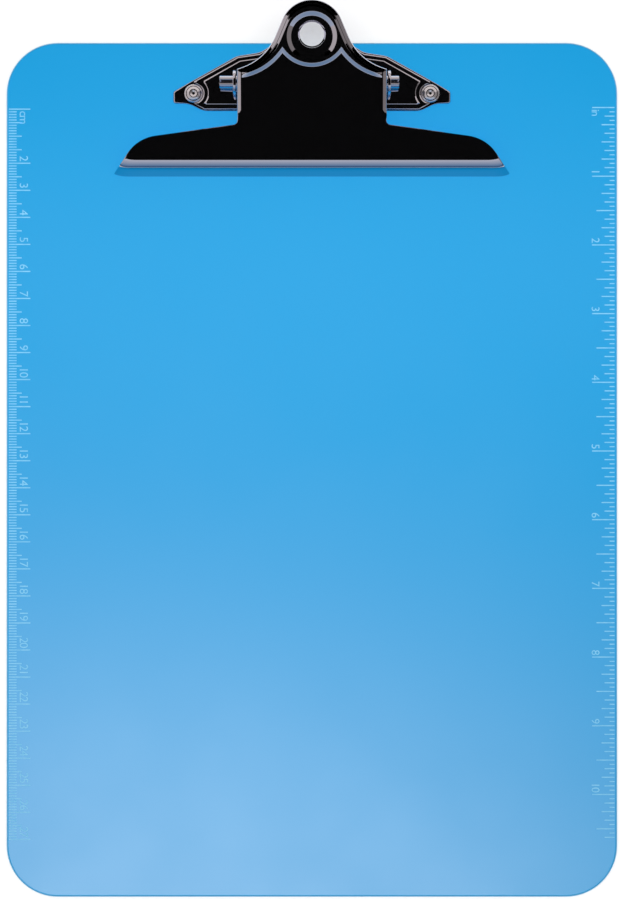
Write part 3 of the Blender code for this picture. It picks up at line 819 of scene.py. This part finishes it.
class CLIPBOARD_OT_scales(bpy.types.Operator):
    """Prints the centimetre scale on the left edge and the inch scale on the right edge"""

    bl_idname = "clipboard.scales"
    bl_label = "Printed scales"

    def execute(self, context):
        s = context.scene.clipboard_scales
        cm = 10 * MM
        kinds = {"millimetres": MM, "half_centimetres": cm / 2, "centimetres": cm}
        zero = BOARD_HIGH.y - s.cm_zero
        ends = [BOARD_LOW.x + end for end in s.cm_ends]
        self.lines(s, "centimetre", zero, ends, kinds, s.cm_span, s.cm_free)
        foot = BOARD_LOW.x + s.cm_foot
        texts = [lettering(str(i), s.cm_height, foot, zero - i * cm + s.gap, s) for i in range(2, 28)]
        texts.append(lettering("cm", s.cm_height, foot, zero - s.gap, s, "LEFT"))
        self.printed(s, join(texts, "scale_centimetre_numerals"))
        inch = 25.4 * MM
        names = ("sixteenths", "eighths", "quarters", "halves", "inches")
        kinds = {name: inch * 2**i / 16 for i, name in enumerate(names)}
        zero = BOARD_HIGH.y - s.inch_zero
        ends = [BOARD_HIGH.x - end for end in s.inch_ends]
        self.lines(s, "inch", zero, ends, kinds, s.inch_span, s.inch_free)
        foot = BOARD_HIGH.x - s.inch_foot
        texts = [lettering(str(i), s.inch_height, foot, zero - i * inch + s.gap, s) for i in range(1, 11)]
        texts.append(lettering("in", s.inch_height, foot, zero - s.gap, s, "LEFT"))
        self.printed(s, join(texts, "scale_inch_numerals"))
        return {"FINISHED"}

    def lines(self, s, name, zero, ends, kinds, span, free):
        """One scale's lines: each longer kind goes on where the shorter ones end.

        The long kinds would run into the unit mark, so they start past it, after one line at zero.
        """
        long_step = free / 3
        slack = 0.01
        for (kind, step), start, end in zip(kinds.items(), ends, ends[1:]):
            skip = free if step > long_step else 0.0
            count = math.floor((span - skip) / step + slack) + 1
            self.line(s, f"scale_{kind}", start, end, zero - skip, step, count)
        first_long = next(i for i, step in enumerate(kinds.values()) if step > long_step)
        self.line(s, f"scale_{name}_zero", ends[first_long], ends[-1], zero, 0.0, 1)

    def line(self, s, name, start, end, first, step, count):
        """A row of equal printed lines across the board's edge."""
        low, high = sorted((start, end))
        half = s.line / 2
        row = block((low, first - half, BOARD_TOP - s.film), (high, first + half, BOARD_TOP + s.film))
        row.name = name
        modify(
            row,
            "ARRAY",
            count=count,
            use_relative_offset=False,
            use_constant_offset=True,
            constant_offset_displace=(0.0, -step, 0.0),
        )
        self.printed(s, row)

    def printed(self, s, piece):
        plastic = bpy.context.scene.clipboard_board.tint
        dress(piece, "board", "board_plastic", screen_ink(s, plastic))


# The rolled side from the plate out to the flange: (inwards, down) as shares of the roll's radius
ROLL_ROWS = (
    (1.0, 0.0), (0.93, 0.012), (0.85, 0.055), (0.27, 0.36),
    (0.17, 0.43), (0.09, 0.53), (0.03, 0.7), (0.0, 1.0),
)
# Which point along the lever's side is the flange's back end, where the handle's rim starts
FLANK = 3
# How far round the tube's eye a flange's lower edge runs
EYE_SPAN = math.radians(135)
LIP_STEPS = 14
# The curl at the lip's ends is part of a circle. Its steps are wider than the cut edge's rounding.
CURL_TURN = math.radians(60)
CURL_STEPS = 6
# Halvings that find the point where the handle's rim meets the side scallop
HALVINGS = 30


def handle_edge(s):
    """Right half of the handle's outer edge, from its shoulder to the tip."""
    flare = Vector((s.flare_x, s.flare_v))
    away = flare - Vector((0.0, s.handle_v))
    lean = math.atan2(away.y, away.x) + math.acos(s.handle / away.length)
    tip = arc((0.0, s.handle_v), s.handle, lean, math.pi / 2)
    turns = [(s.body, s.handle_shoulder, 0.0), (*flare, s.flare_radius), (*tip[0], 0.0)]
    return rounded(turns)[:-1] + tip


def lever_lip(s):
    """Rows of the bent lip, from the plate down, whose bend curls up towards the jaw's ends."""
    profile = []
    for i in range(LIP_STEPS + 1):
        bend = s.bend_angle * i / LIP_STEPS
        profile.append((-s.bend_radius * math.sin(bend), s.high - s.bend_radius * (1 - math.cos(bend))))
    v, height = profile[-1]
    fall = s.lip_length
    profile.append((v - fall * math.cos(s.bend_angle), height - fall * math.sin(s.bend_angle)))
    spread = (s.jaw - s.shoulder_x) / (s.shoulder_v - s.bend_v - profile[-1][0])
    reach = s.curl_reach / s.jaw
    right = []
    for i in range(CURL_STEPS + 1):
        turn = CURL_TURN * i / CURL_STEPS
        curl = s.curl * 2 * (1 - math.cos(turn))
        right.append((1 - reach + reach * math.sin(turn) / math.sin(CURL_TURN), curl))
    columns = [(-share, curl) for share, curl in reversed(right)] + [(0.0, 0.0)] + right
    rows = []
    for v, height in profile:
        row = []
        for share, curl in columns:
            along = s.bend_v + v + curl
            row.append(Vector((share * (s.shoulder_x + (s.shoulder_v - along) * spread), along, height)))
        rows.append(row)
    return rows


class CLIPBOARD_OT_lever(bpy.types.Operator):
    """Presses the lever: jaw with its lip, body with its flanges, scalloped handle with its dish"""

    bl_idname = "clipboard.lever"
    bl_label = "Lever"

    def execute(self, context):
        s = context.scene.clipboard_lever
        edge = handle_edge(s)
        fade_end = s.flange_front + s.fade
        sides = [Vector((s.body, v)) for v in (s.flange_front, fade_end, s.side_end, s.flange_back)]
        chain = mirrored(sides + edge)
        inner = self.set_in(chain, s.roll)
        swing = math.asin(s.cusp / s.scallop)
        low = -math.pi / 2
        middle_centre = Vector((0.0, s.dip + s.scallop))
        middle = arc(middle_centre, s.scallop, low, low + swing)
        side_centre = bow_centre(middle[-1], inner[2], s.side)
        side = arc_between(side_centre, middle[-1], inner[2])
        lip = lever_lip(s)
        bend = [p.xy for p in lip[0] if p.x > -MERGE]
        jaw = rounded(
            [
                (*bend[-1], 0.0),
                (s.shoulder_x, s.shoulder_v, s.shoulder_radius),
                (s.body, s.root_v, s.root_radius),
                (s.body, s.flange_front, 0.0),
            ]
        )
        half = bend[:-1] + jaw + inner[1:2] + side[::-1] + middle[-2::-1]
        plate = face(raised(mirrored(half), s.high))
        pieces = [plate, sheet(lip)]
        pieces += self.rolled_edges(s, chain)
        pieces += self.handle(s, inner, middle, middle_centre, side, side_centre)
        lever = join(pieces, "pressed_lever")
        face_up(lever)
        thicken(lever, s.sheet, s.edge)
        combine(lever, cylinder(s.hole, (0.0, s.hole_v, 0.0), 0.0, 2 * s.high))
        reach = s.body + s.roll
        combine(lever, cylinder(s.bore, (0.0, 0.0, 0.0), -reach, reach, "X"))
        place(lever, PIVOT, s.tilt)
        dress(lever, "lever", "plated_steel", bright_nickel(context.scene.clipboard_finish), ["clip_lever"])
        return {"FINISHED"}

    def set_in(self, chain, distance):
        """The lever's side and handle edge set in, its two front ends kept in place."""
        return chain[:1] + shifted(chain, distance)[1:-1] + chain[-1:]

    def rolled_edges(self, s, chain):
        """The rolled sides and handle rim, and the flanges below them."""
        rows = []
        for inward, down in ROLL_ROWS:
            row = raised(self.set_in(chain, s.roll * inward), s.high - s.roll * down)
            row[0].z = row[-1].z = s.high
            rows.append(row)
        made = [sheet(rows)]
        low = s.high - s.rim
        start = s.high - s.roll
        made.append(sheet([raised(chain[FLANK:-FLANK], level) for level in (start, low)]))
        eye = arc((0.0, 0.0), s.eye, 0.0, -EYE_SPAN)
        wall = [(s.flange_back, start), (s.flange_back, low), *eye]
        wall += [(s.flange_front, s.high - 2 * s.sheet), (s.flange_front, s.high)]
        wall += [(s.flange_front + s.fade, start), (s.side_end, start)]
        for sign in (-1, 1):
            made.append(face([Vector((sign * s.body, v, height)) for v, height in wall]))
        return made

    def handle(self, s, inner, middle, middle_centre, side, side_centre):
        """The raised handle: its slope, its flat top and the dish round the hole."""
        half_count = len(inner) // 2 + 1
        foot = mirrored(middle + side[1:] + inner[FLANK:half_count])
        rim = shifted(inner, s.rim_slope)[:half_count]
        top_radius = s.side - s.slope
        cusp = crossing(middle_centre, s.scallop - s.slope, side_centre, top_radius)
        inside = [i for i, p in enumerate(rim) if i > FLANK and (p - side_centre).length < top_radius]
        first = inside[0]
        outer, lobe = rim[first - 1], rim[first]
        for _ in range(HALVINGS):
            half = (outer + lobe) / 2
            if (half - side_centre).length < top_radius:
                lobe = half
            else:
                outer = half
        start = middle_centre + Vector((0.0, s.slope - s.scallop))
        top_middle = evenly(arc_between(middle_centre, start, cusp), len(middle))
        top_side = evenly(arc_between(side_centre, cusp, lobe), len(side))
        top_rim = [p if i >= first else lobe for i, p in enumerate(rim)]
        crown = mirrored(top_middle + top_side[1:] + top_rim[FLANK:])
        rows = []
        high = s.high + s.step
        for t in SLOPE_ROWS:
            row = [a.lerp(b, t) for a, b in zip(foot, crown)]
            rows.append(raised(row + row[:1], s.high + s.step * eased(t)))
        made = [sheet(rows)]
        eye = Vector((0.0, s.dish_v))
        outline = [p for i, p in enumerate(crown) if (p - crown[i - 1]).length > MERGE]
        ring = arc(eye, s.dish, 0.0, math.tau)[:-1]
        made.append(fill_between(raised(outline, high), [raised(ring, high)]))
        profile = [
            (s.dish + (s.dish_floor - s.dish) * t, high - s.dish_depth * eased(t)) for t in SLOPE_ROWS
        ]
        made.append(turned(profile, eye))
        floor = arc(eye, s.dish_floor, 0.0, math.tau)[:-1]
        made.append(face(raised(floor, high - s.dish_depth)))
        return made


# The hollow round a rivet: its points, and the share of its opening that it keeps to
HOLLOW_POINTS = 25
HOLLOW_SHARE = 0.97
# How far along its side the tongue's inner corner moves for each length that the border is set in
TONGUE_MITRE = 0.56
EDGE_STEPS = 4
# Angle over the hinge axis at which an ear's round top starts
EAR_FLANK = math.radians(20)


class CLIPBOARD_OT_base(bpy.types.Operator):
    """Presses the base plate with its raised middle, tongue, ears and windows"""

    bl_idname = "clipboard.base"
    bl_label = "Base"

    def execute(self, context):
        s = context.scene.clipboard_base
        rivet = Vector((context.scene.clipboard_board.rivet_x, context.scene.clipboard_board.rivet_y))
        low = s.seat + s.sheet
        high = low + s.rise
        tongue = arc((0.0, s.tongue_y), s.tongue, 0.0, math.pi / 2)
        outline = rounded(
            [
                (0.0, s.front, 0.0),
                (s.front_half, s.front, s.flare_radius),
                (s.root_x, s.wing_low, s.flare_radius),
                (s.reach, s.wing_low, s.corner),
                (s.reach, s.wing_high, s.corner),
                (s.shoulder_x, s.shoulder_y, s.flare_radius),
                (s.flare_x, s.flare_y, s.flare_radius),
                (s.tongue, s.tongue_y, 0.0),
            ]
        )
        outline = outline[:-1] + tongue
        # A point on the slanted side, up to which the rounding of the wing's end fades
        slant = next(i for i, p in enumerate(outline) if outline[i - 1].x > s.root_x > p.x)
        before, after = outline[slant - 1], outline[slant]
        outline.insert(slant, before.lerp(after, (before.x - s.root_x) / (before.x - after.x)))
        half_rise = s.rise / 2
        shoulder = half_rise - s.chamfer * math.tan(s.chamfer_angle)
        step = ((0.0, 0.0), (s.wall, shoulder), (s.wall + s.chamfer, half_rise))
        steps = [(start * s.ledge + d, start * half_rise + h) for start in (0, 1) for d, h in step]
        rings = [self.plateau(s, rivet, s.border + d, s.hollow + d) for d, _ in steps]
        foot, crown = rings[0], rings[-1]
        hole = arc((0.0, s.hole_y), s.hole, 0.0, math.tau)[:-1]
        rim = self.rounded_rim(s, outline, low)
        border = fill_between(rim[-1][:-1], [raised(foot, low)])
        rows = [raised(ring + ring[:1], low + height) for ring, (_, height) in zip(rings, steps)]
        top = fill_between(raised(crown, high), [raised(hole, high)])
        base = join([border, sheet(rim), sheet(rows), top], "pressed_base")
        face_up(base)
        modify(base, "SOLIDIFY", thickness=s.sheet, offset=-1.0, use_even_offset=False, use_rim=True)
        self.ears(s, base, high)
        reach = s.ear + 2 * s.sheet
        axis = PIVOT.z - BOARD_TOP
        combine(base, cylinder(s.ear_bore, (0.0, 0.0, axis), -reach, reach, "X"))
        for x in (-rivet.x, rivet.x):
            where = (x, rivet.y, 0.0)
            combine(base, cylinder(context.scene.clipboard_board.bore, where, -s.rise, high + s.rise))
        place(base, (0.0, PIVOT.y, BOARD_TOP))
        # The chamfers shade into the flats beside them, and the walls don't
        smooth = math.degrees(s.chamfer_angle) + 3
        finish = bright_nickel(context.scene.clipboard_finish)
        dress(base, "board", "plated_steel", finish, ["clip_base"], smooth)
        return {"FINISHED"}

    def rounded_rim(self, s, outline, low):
        """Rows of the plate's rounded outer edge, which is rounder towards the wings' ends."""
        inset = shifted(outline, s.edge)
        inset[0].x = inset[-1].x = 0.0
        wing = s.reach - s.corner - s.root_x
        more = s.end_edge / s.edge - 1
        rounds = [1 + more * min(1.0, max(0.0, (p.x - s.root_x) / wing)) for p in outline]
        rows = []
        for i in range(EDGE_STEPS + 1):
            turn = math.pi / 2 * i / EDGE_STEPS
            inward = 1 - math.cos(turn)
            down = s.edge * (1 - math.sin(turn))
            ring = mirrored([a.lerp(b, inward * r) for a, b, r in zip(outline, inset, rounds)])
            heights = [low - down * r for r in rounds]
            heights += heights[-2:0:-1]
            row = [Vector((*p, height)) for p, height in zip(ring, heights)]
            rows.append(row + row[:1])
        return rows

    def plateau(self, s, rivet, border, hollow):
        """Outline of the raised middle at one height: the base's edge set in, hollowed round each rivet."""
        half = math.asin(min(1.0, s.hollow_half / hollow)) * HOLLOW_SHARE
        front = s.front + border
        slant = Vector((s.shoulder_x - s.reach, s.shoulder_y - s.wing_high)).normalized()
        across = Vector((slant.y, -slant.x))
        shoulder = Vector((s.shoulder_x, s.shoulder_y)) - across * border
        bowl = evenly(arc(rivet, hollow, math.pi + half, math.pi - half), HOLLOW_POINTS)
        slant_start = shoulder + slant * (bowl[-1].x - shoulder.x) / slant.x
        front_end = Vector((min(bowl[0].x, s.front_half) - border / 4 - s.setback, front))
        tongue = arc((0.0, s.tongue_y), s.tongue - border, 0.0, math.pi / 2)
        right = [Vector((0.0, front)), front_end, *bowl, slant_start, shoulder]
        right.append(Vector((s.flare_x, s.flare_y - border)))
        right.append(Vector((s.tongue - border, s.tongue_y - border * TONGUE_MITRE)))
        return mirrored(right + tongue)

    def ears(self, s, base, high):
        """The upright ears, and the windows that they were bent up from."""
        axis = PIVOT.z - BOARD_TOP
        outline = arc((0.0, axis), s.ear_radius, EAR_FLANK, math.pi - EAR_FLANK)
        foot = high - s.sheet / 2
        outline += [Vector((-s.ear_foot, foot)), Vector((s.ear_foot, foot))]
        inner = s.ear - (axis + s.ear_radius - high)
        for sign in (-1, 1):
            points = [Vector((sign * s.ear, p.x, p.y)) for p in outline]
            wall = thick_plate(points, (sign * s.sheet, 0.0, 0.0))
            ease_edges(wall, s.edge)
            combine(base, wall, "UNION")
            ends = sorted((sign * inner, sign * (s.ear - s.sheet / 2)))
            opening = block((ends[0], -s.window / 2, 0.0), (ends[1], s.window / 2, high + s.rise))
            combine(base, opening)


class CLIPBOARD_OT_tube(bpy.types.Operator):
    """Rolls the split hinge tube"""

    bl_idname = "clipboard.tube"
    bl_label = "Hinge tube"

    def execute(self, context):
        s = context.scene.clipboard_hinge
        low, high = (Vector(corner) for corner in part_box("hinge_tube"))
        half_seam = math.asin(s.seam / 2 / s.radius)
        start = math.pi / 2 + half_seam
        end = start + math.tau - 2 * half_seam
        # Every second point, so that a step is wider than the edges' rounding
        strip = arc((0.0, 0.0), s.radius, start, end)[::2]
        tube = sheet([[Vector((x, *p)) for p in strip] for x in (low.x, high.x)])
        tube.name = "rolled_hinge_tube"
        thicken(tube, s.wall, s.edge)
        place(tube, (0.0, PIVOT.y, PIVOT.z))
        dress(tube, "board", "plated_steel", bright_nickel(context.scene.clipboard_finish), ["hinge_tube"])
        return {"FINISHED"}


POINTS_PER_TURN = 32


class CLIPBOARD_OT_spring(bpy.types.Operator):
    """Winds the torsion spring between the board and the lever, in its shape at rest"""

    bl_idname = "clipboard.spring"
    bl_label = "Torsion spring"

    def execute(self, context):
        s = context.scene.clipboard_hinge
        tilt = context.scene.clipboard_lever.tilt
        start = math.pi / 2 + tilt
        end = math.tau * s.turns + 1.5 * math.pi
        width = s.pitch * (end - start) / math.tau
        count = POINTS_PER_TURN * (s.turns + 1)
        coil = []
        for i in range(count + 1):
            turn = start + (end - start) * i / count
            along = width * (0.5 - i / count)
            coil.append(Vector((along, s.coil * math.cos(turn), s.coil * math.sin(turn))))
        lever_arm = coil[0] + Vector((0.0, math.cos(tilt), math.sin(tilt))) * s.arm
        base_arm = coil[-1] + Vector((0.0, 1.0, 0.0)) * s.arm
        path = [lever_arm, *coil, base_arm]
        deselect()
        bpy.ops.curve.primitive_nurbs_path_add()
        spring = bpy.context.object
        spring.name = "wound_spring"
        wire = spring.data
        wire.splines.clear()
        wire.bevel_depth = s.wire / 2
        wire.bevel_resolution = 4
        wire.use_fill_caps = True
        line = wire.splines.new("POLY")
        line.points.add(len(path) - 1)
        for point, where in zip(line.points, path):
            point.co = (*(where + PIVOT), 1.0)
        bpy.ops.object.convert(target="MESH")
        spring = join([bpy.context.object], "wound_spring")
        steel = context.scene.clipboard_finish
        finish = bright_metal("drawn spring steel", steel.wire, steel.wire_roughness)
        dress(spring, None, "spring_wire", finish, ["torsion_spring"])
        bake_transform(spring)
        return {"FINISHED"}


# A rivet's turned profile in millimetres: (radius, height) pairs of its head, from the head's back, and of
# its rolled end with its rings, from the end's top
RIVET_HEAD = ((0.0, 0.0), (4.2, 0.0), (4.5, 0.25), (4.5, 0.9), (1.8, 0.9))
RIVET_END = (
    (1.8, -1.3), (3.4, -1.3), (3.4, -0.95), (3.3, -0.85), (2.8, -0.58), (2.74, -0.9),
    (2.58, -0.9), (2.52, -0.52), (2.1, -0.23), (1.7, -0.04), (1.6, 0.0), (1.52, -0.4),
    (1.36, -0.4), (1.3, -0.2), (0.9, -0.36), (0.55, -0.52), (0.5, -1.2), (0.0, -1.25),
)


class CLIPBOARD_OT_rivets(bpy.types.Operator):
    """Turns the two tubular rivets with their rolled ends"""

    bl_idname = "clipboard.rivets"
    bl_label = "Rivets"

    def execute(self, context):
        place_x = context.scene.clipboard_board.rivet_x
        y = PIVOT.y + context.scene.clipboard_board.rivet_y
        plating = context.scene.clipboard_finish
        finish = bright_metal("satin nickel rivet", plating.rivets, plating.rivet_roughness)
        low, high = (Vector(corner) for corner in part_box("rivet_left"))
        profile = [(radius * MM, low.z + height * MM) for radius, height in RIVET_HEAD]
        profile += [(radius * MM, high.z + height * MM) for radius, height in RIVET_END]
        for side, x in (("left", -place_x), ("right", place_x)):
            rivet = join([turned(profile, (x, y))], f"rolled_rivet_{side}")
            dress(rivet, "board", "rivet_metal", finish, [f"rivet_{side}"])
        return {"FINISHED"}


# Stage


WHITE = linear("#FFFFFF")
BLACK = linear("#0D0D0D")
# The studio's sizes in metres
FLOOR_SIZE = 12.0
TENT_RADIUS = 3.0
SCREEN_DISTANCE = 1.6
# Share of plain white in the floor's colour, which brings it up to white under the soft light
FLOOR_WHITE = 0.43
# Height of a lit screen's foot, as a share of the screen's
FOOT_SHARE = 0.28
# The lit screens that the metal mirrors: each one's name, how far it leans to the right and forward from
# overhead in degrees, and its size in metres
FRONT_SCREEN = ("front_screen", (0.0, 62.0), (3.6, 1.56))
SIDE_SCREENS = (
    ("left_screen", (-58.0, 10.0), (1.7, 1.4)),
    ("right_screen", (58.0, 10.0), (1.7, 1.4)),
)
BACK_SCREENS = (
    ("back_left_screen", (-50.0, -50.0), (1.3, 1.4)),
    ("back_right_screen", (50.0, -50.0), (1.3, 1.4)),
    ("back_screen", (0.0, -62.0), (1.3, 1.4)),
)


def seen(tree):
    """1 for camera, glossy and transmission rays, 0 for the rest."""
    path = node(tree, "ShaderNodeLightPath")
    pair = node(
        tree,
        "ShaderNodeMath",
        {0: path.outputs["Is Camera Ray"], 1: path.outputs["Is Glossy Ray"]},
        operation="MAXIMUM",
    )
    every = node(
        tree,
        "ShaderNodeMath",
        {0: pair.outputs[0], 1: path.outputs["Is Transmission Ray"]},
        operation="MAXIMUM",
    )
    return every.outputs[0]


def white_paper(settings):
    """Matt white paper: the eye sees it as plain white, with the object's soft shadow left in."""
    made, tree = new_material("matt white paper")
    if tree:
        matt = node(tree, "ShaderNodeBsdfDiffuse", {"Color": settings.paper})
        white = node(tree, "ShaderNodeEmission", {"Color": WHITE, "Strength": 1.0})
        share = node(tree, "ShaderNodeMath", {0: seen(tree), 1: FLOOR_WHITE}, operation="MULTIPLY")
        mixed = node(
            tree,
            "ShaderNodeMixShader",
            {"Fac": share.outputs[0], 1: matt.outputs["BSDF"], 2: white.outputs["Emission"]},
        )
        node(tree, "ShaderNodeOutputMaterial", {"Surface": mixed.outputs["Shader"]})
    return made


def black_cloth():
    """Black tent cloth: it gives bright metal something dark to mirror."""
    made, tree = new_material("black tent cloth")
    if tree:
        matt = node(tree, "ShaderNodeBsdfDiffuse", {"Color": BLACK})
        node(tree, "ShaderNodeOutputMaterial", {"Surface": matt.outputs["BSDF"]})
    return made


def lit_screen(name, tint, foot=None, hem=None):
    """Stretched cloth lit from behind: bright metal mirrors a pale field that fades towards its foot."""
    made, tree = new_material(name)
    if tree:
        where = node(tree, "ShaderNodeTexCoord")
        height = node(tree, "ShaderNodeSeparateXYZ", {"Vector": where.outputs["Object"]})
        lift = node(tree, "ShaderNodeMath", {0: height.outputs["Y"], 1: 0.5}, operation="ADD")
        fade = node(tree, "ShaderNodeValToRGB", {"Fac": lift.outputs[0]})
        stops = fade.color_ramp.elements
        stops[0].color = hem or tint
        stops[1].color = tint
        stops.new(FOOT_SHARE).color = foot or tint
        glow = node(tree, "ShaderNodeEmission", {"Color": fade.outputs["Color"], "Strength": 1.0})
        node(tree, "ShaderNodeOutputMaterial", {"Surface": glow.outputs["Emission"]})
    return made


def screen(name, leans, size, finish):
    """A flat screen that faces the clip, leaning (right, forward) by these degrees from overhead."""
    right, forward = (math.radians(lean) for lean in leans)
    way = Vector((math.tan(right), -math.tan(forward), 1.0)).normalized()
    middle = Vector((0.0, PIVOT.y, BOARD_TOP))
    deselect()
    bpy.ops.mesh.primitive_plane_add(
        size=1.0, location=middle + way * SCREEN_DISTANCE, rotation=way.to_track_quat("Z", "Y").to_euler()
    )
    made = bpy.context.object
    made.name = name
    made.scale = (*size, 1.0)
    made.data.materials.append(finish)
    return made


def lamp(name, location, aim, power, size):
    """A soft lamp without shadows that faces a point."""
    deselect()
    way = Vector(aim) - Vector(location)
    bpy.ops.object.light_add(
        type="AREA", location=location, rotation=way.to_track_quat("-Z", "Y").to_euler()
    )
    made = bpy.context.object
    made.name = name
    made.data.shape = "RECTANGLE"
    made.data.size, made.data.size_y = size
    made.data.energy = power
    made.data.use_shadow = False
    return made


def light_only(source, receivers):
    """Shades a light or a lit screen off from everything but these objects."""
    lit = bpy.data.collections.new(f"lit_by_{source.name}")
    for obj in receivers:
        lit.objects.link(obj)
    source.light_linking.receiver_collection = lit


class CLIPBOARD_OT_stage(bpy.types.Operator):
    """Sets up the floor, the dark tent with its lit screens, the lights and the camera"""

    bl_idname = "clipboard.stage"
    bl_label = "Stage"

    def execute(self, context):
        scene = context.scene
        s = scene.clipboard_stage
        slots = {}
        for obj in scene.objects:
            slots.setdefault(obj.get("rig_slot"), []).append(obj)
        metal = slots["plated_steel"] + slots["spring_wire"] + slots["rivet_metal"]
        deselect()
        bpy.ops.mesh.primitive_plane_add(size=FLOOR_SIZE, location=(0.0, 0.0, BOARD_LOW.z - s.clear))
        floor = bpy.context.object
        floor.name = "floor"
        floor.data.materials.append(white_paper(s))
        self.tent(s, floor, metal)
        self.lights(s, floor, slots["board_plastic"])
        scene.world = self.dome(s)
        bpy.ops.object.camera_add(location=(s.centre_x, s.centre_y, BOARD_TOP + s.distance))
        camera = bpy.context.object
        camera.name = "camera"
        camera.data.lens = camera.data.sensor_width * s.distance / s.view
        camera.data.clip_end = 50.0
        scene.camera = camera
        scene.view_settings.view_transform = "Standard"
        return {"FINISHED"}

    def tent(self, s, floor, metal):
        """The dark tent and its lit screens. Those at the back light only the metal that stands still."""
        bpy.ops.mesh.primitive_uv_sphere_add(segments=32, ring_count=16, radius=TENT_RADIUS)
        tent = bpy.context.object
        tent.name = "black_tent"
        tent.data.materials.append(black_cloth())
        front = screen(*FRONT_SCREEN, lit_screen("lit front screen", s.screen, s.screen_foot, s.screen_hem))
        cloths = (lit_screen("lit left screen", s.left), lit_screen("lit right screen", s.right))
        sides = [screen(*spot, cloth) for spot, cloth in zip(SIDE_SCREENS, cloths)]
        warm = lit_screen("lit back screen", s.back)
        backs = [screen(*spot, warm) for spot in BACK_SCREENS]
        for card in (tent, front, *sides, *backs):
            card.visible_camera = False
            card.visible_diffuse = False
            card.visible_shadow = False
            card.visible_transmission = False
        for card in (front, *sides):
            light_only(card, metal)
        still = [piece for piece in metal if piece.name != "pressed_lever"]
        for card in backs:
            light_only(card, still)

    def lights(self, s, floor, plastic):
        """The key light and the strip light on the board, and a wide soft light on the floor."""
        key = lamp("key_light", s.key_place, s.key_aim, s.key, s.key_size)
        light_only(key, plastic)
        top = lamp("top_light", s.top_place, s.top_aim, s.top, s.top_size)
        top.visible_glossy = False
        top.visible_camera = False
        light_only(top, plastic)
        deselect()
        bpy.ops.object.light_add(type="SUN", location=(0.0, 0.0, s.distance))
        under = bpy.context.object
        under.name = "floor_light"
        under.data.energy = s.floor
        under.data.angle = s.spread
        light_only(under, [floor])

    def dome(self, s):
        """A world that looks white and lights evenly from all round."""
        made = bpy.data.worlds.new("studio")
        made.use_nodes = True
        tree = made.node_tree
        tree.nodes.clear()
        strength = node(
            tree,
            "ShaderNodeMapRange",
            {"Value": seen(tree), "To Min": s.dome, "To Max": 1.0},
        )
        light = node(
            tree,
            "ShaderNodeBackground",
            {"Color": WHITE, "Strength": strength.outputs["Result"]},
        )
        node(tree, "ShaderNodeOutputWorld", {"Surface": light.outputs["Background"]})
        return made


class CLIPBOARD_PT_panel(bpy.types.Panel):
    """Lists the pieces in the order in which they are made"""

    bl_label = "Clipboard"
    bl_space_type = "VIEW_3D"
    bl_region_type = "UI"
    bl_category = "Clipboard"

    def draw(self, context):
        for operator in OPERATORS:
            self.layout.operator(operator.bl_idname)


OPERATORS = (
    CLIPBOARD_OT_board,
    CLIPBOARD_OT_scales,
    CLIPBOARD_OT_base,
    CLIPBOARD_OT_tube,
    CLIPBOARD_OT_spring,
    CLIPBOARD_OT_lever,
    CLIPBOARD_OT_rivets,
    CLIPBOARD_OT_stage,
)
SETTINGS = {
    "clipboard_board": BoardSettings,
    "clipboard_scales": ScaleSettings,
    "clipboard_lever": LeverSettings,
    "clipboard_base": BaseSettings,
    "clipboard_hinge": HingeSettings,
    "clipboard_finish": FinishSettings,
    "clipboard_stage": StageSettings,
}


def register():
    for name, group in SETTINGS.items():
        bpy.utils.register_class(group)
        setattr(bpy.types.Scene, name, bpy.props.PointerProperty(type=group))
    for kind in (*OPERATORS, CLIPBOARD_PT_panel):
        bpy.utils.register_class(kind)


def unregister():
    for kind in (CLIPBOARD_PT_panel, *reversed(OPERATORS)):
        bpy.utils.unregister_class(kind)
    for name, group in SETTINGS.items():
        delattr(bpy.types.Scene, name)
        bpy.utils.unregister_class(group)


def main():
    register()
    bpy.ops.clipboard.board()
    bpy.ops.clipboard.scales()
    bpy.ops.clipboard.base()
    bpy.ops.clipboard.tube()
    bpy.ops.clipboard.spring()
    bpy.ops.clipboard.lever()
    bpy.ops.clipboard.rivets()
    bpy.ops.clipboard.stage()


if __name__ == "__main__":
    main()
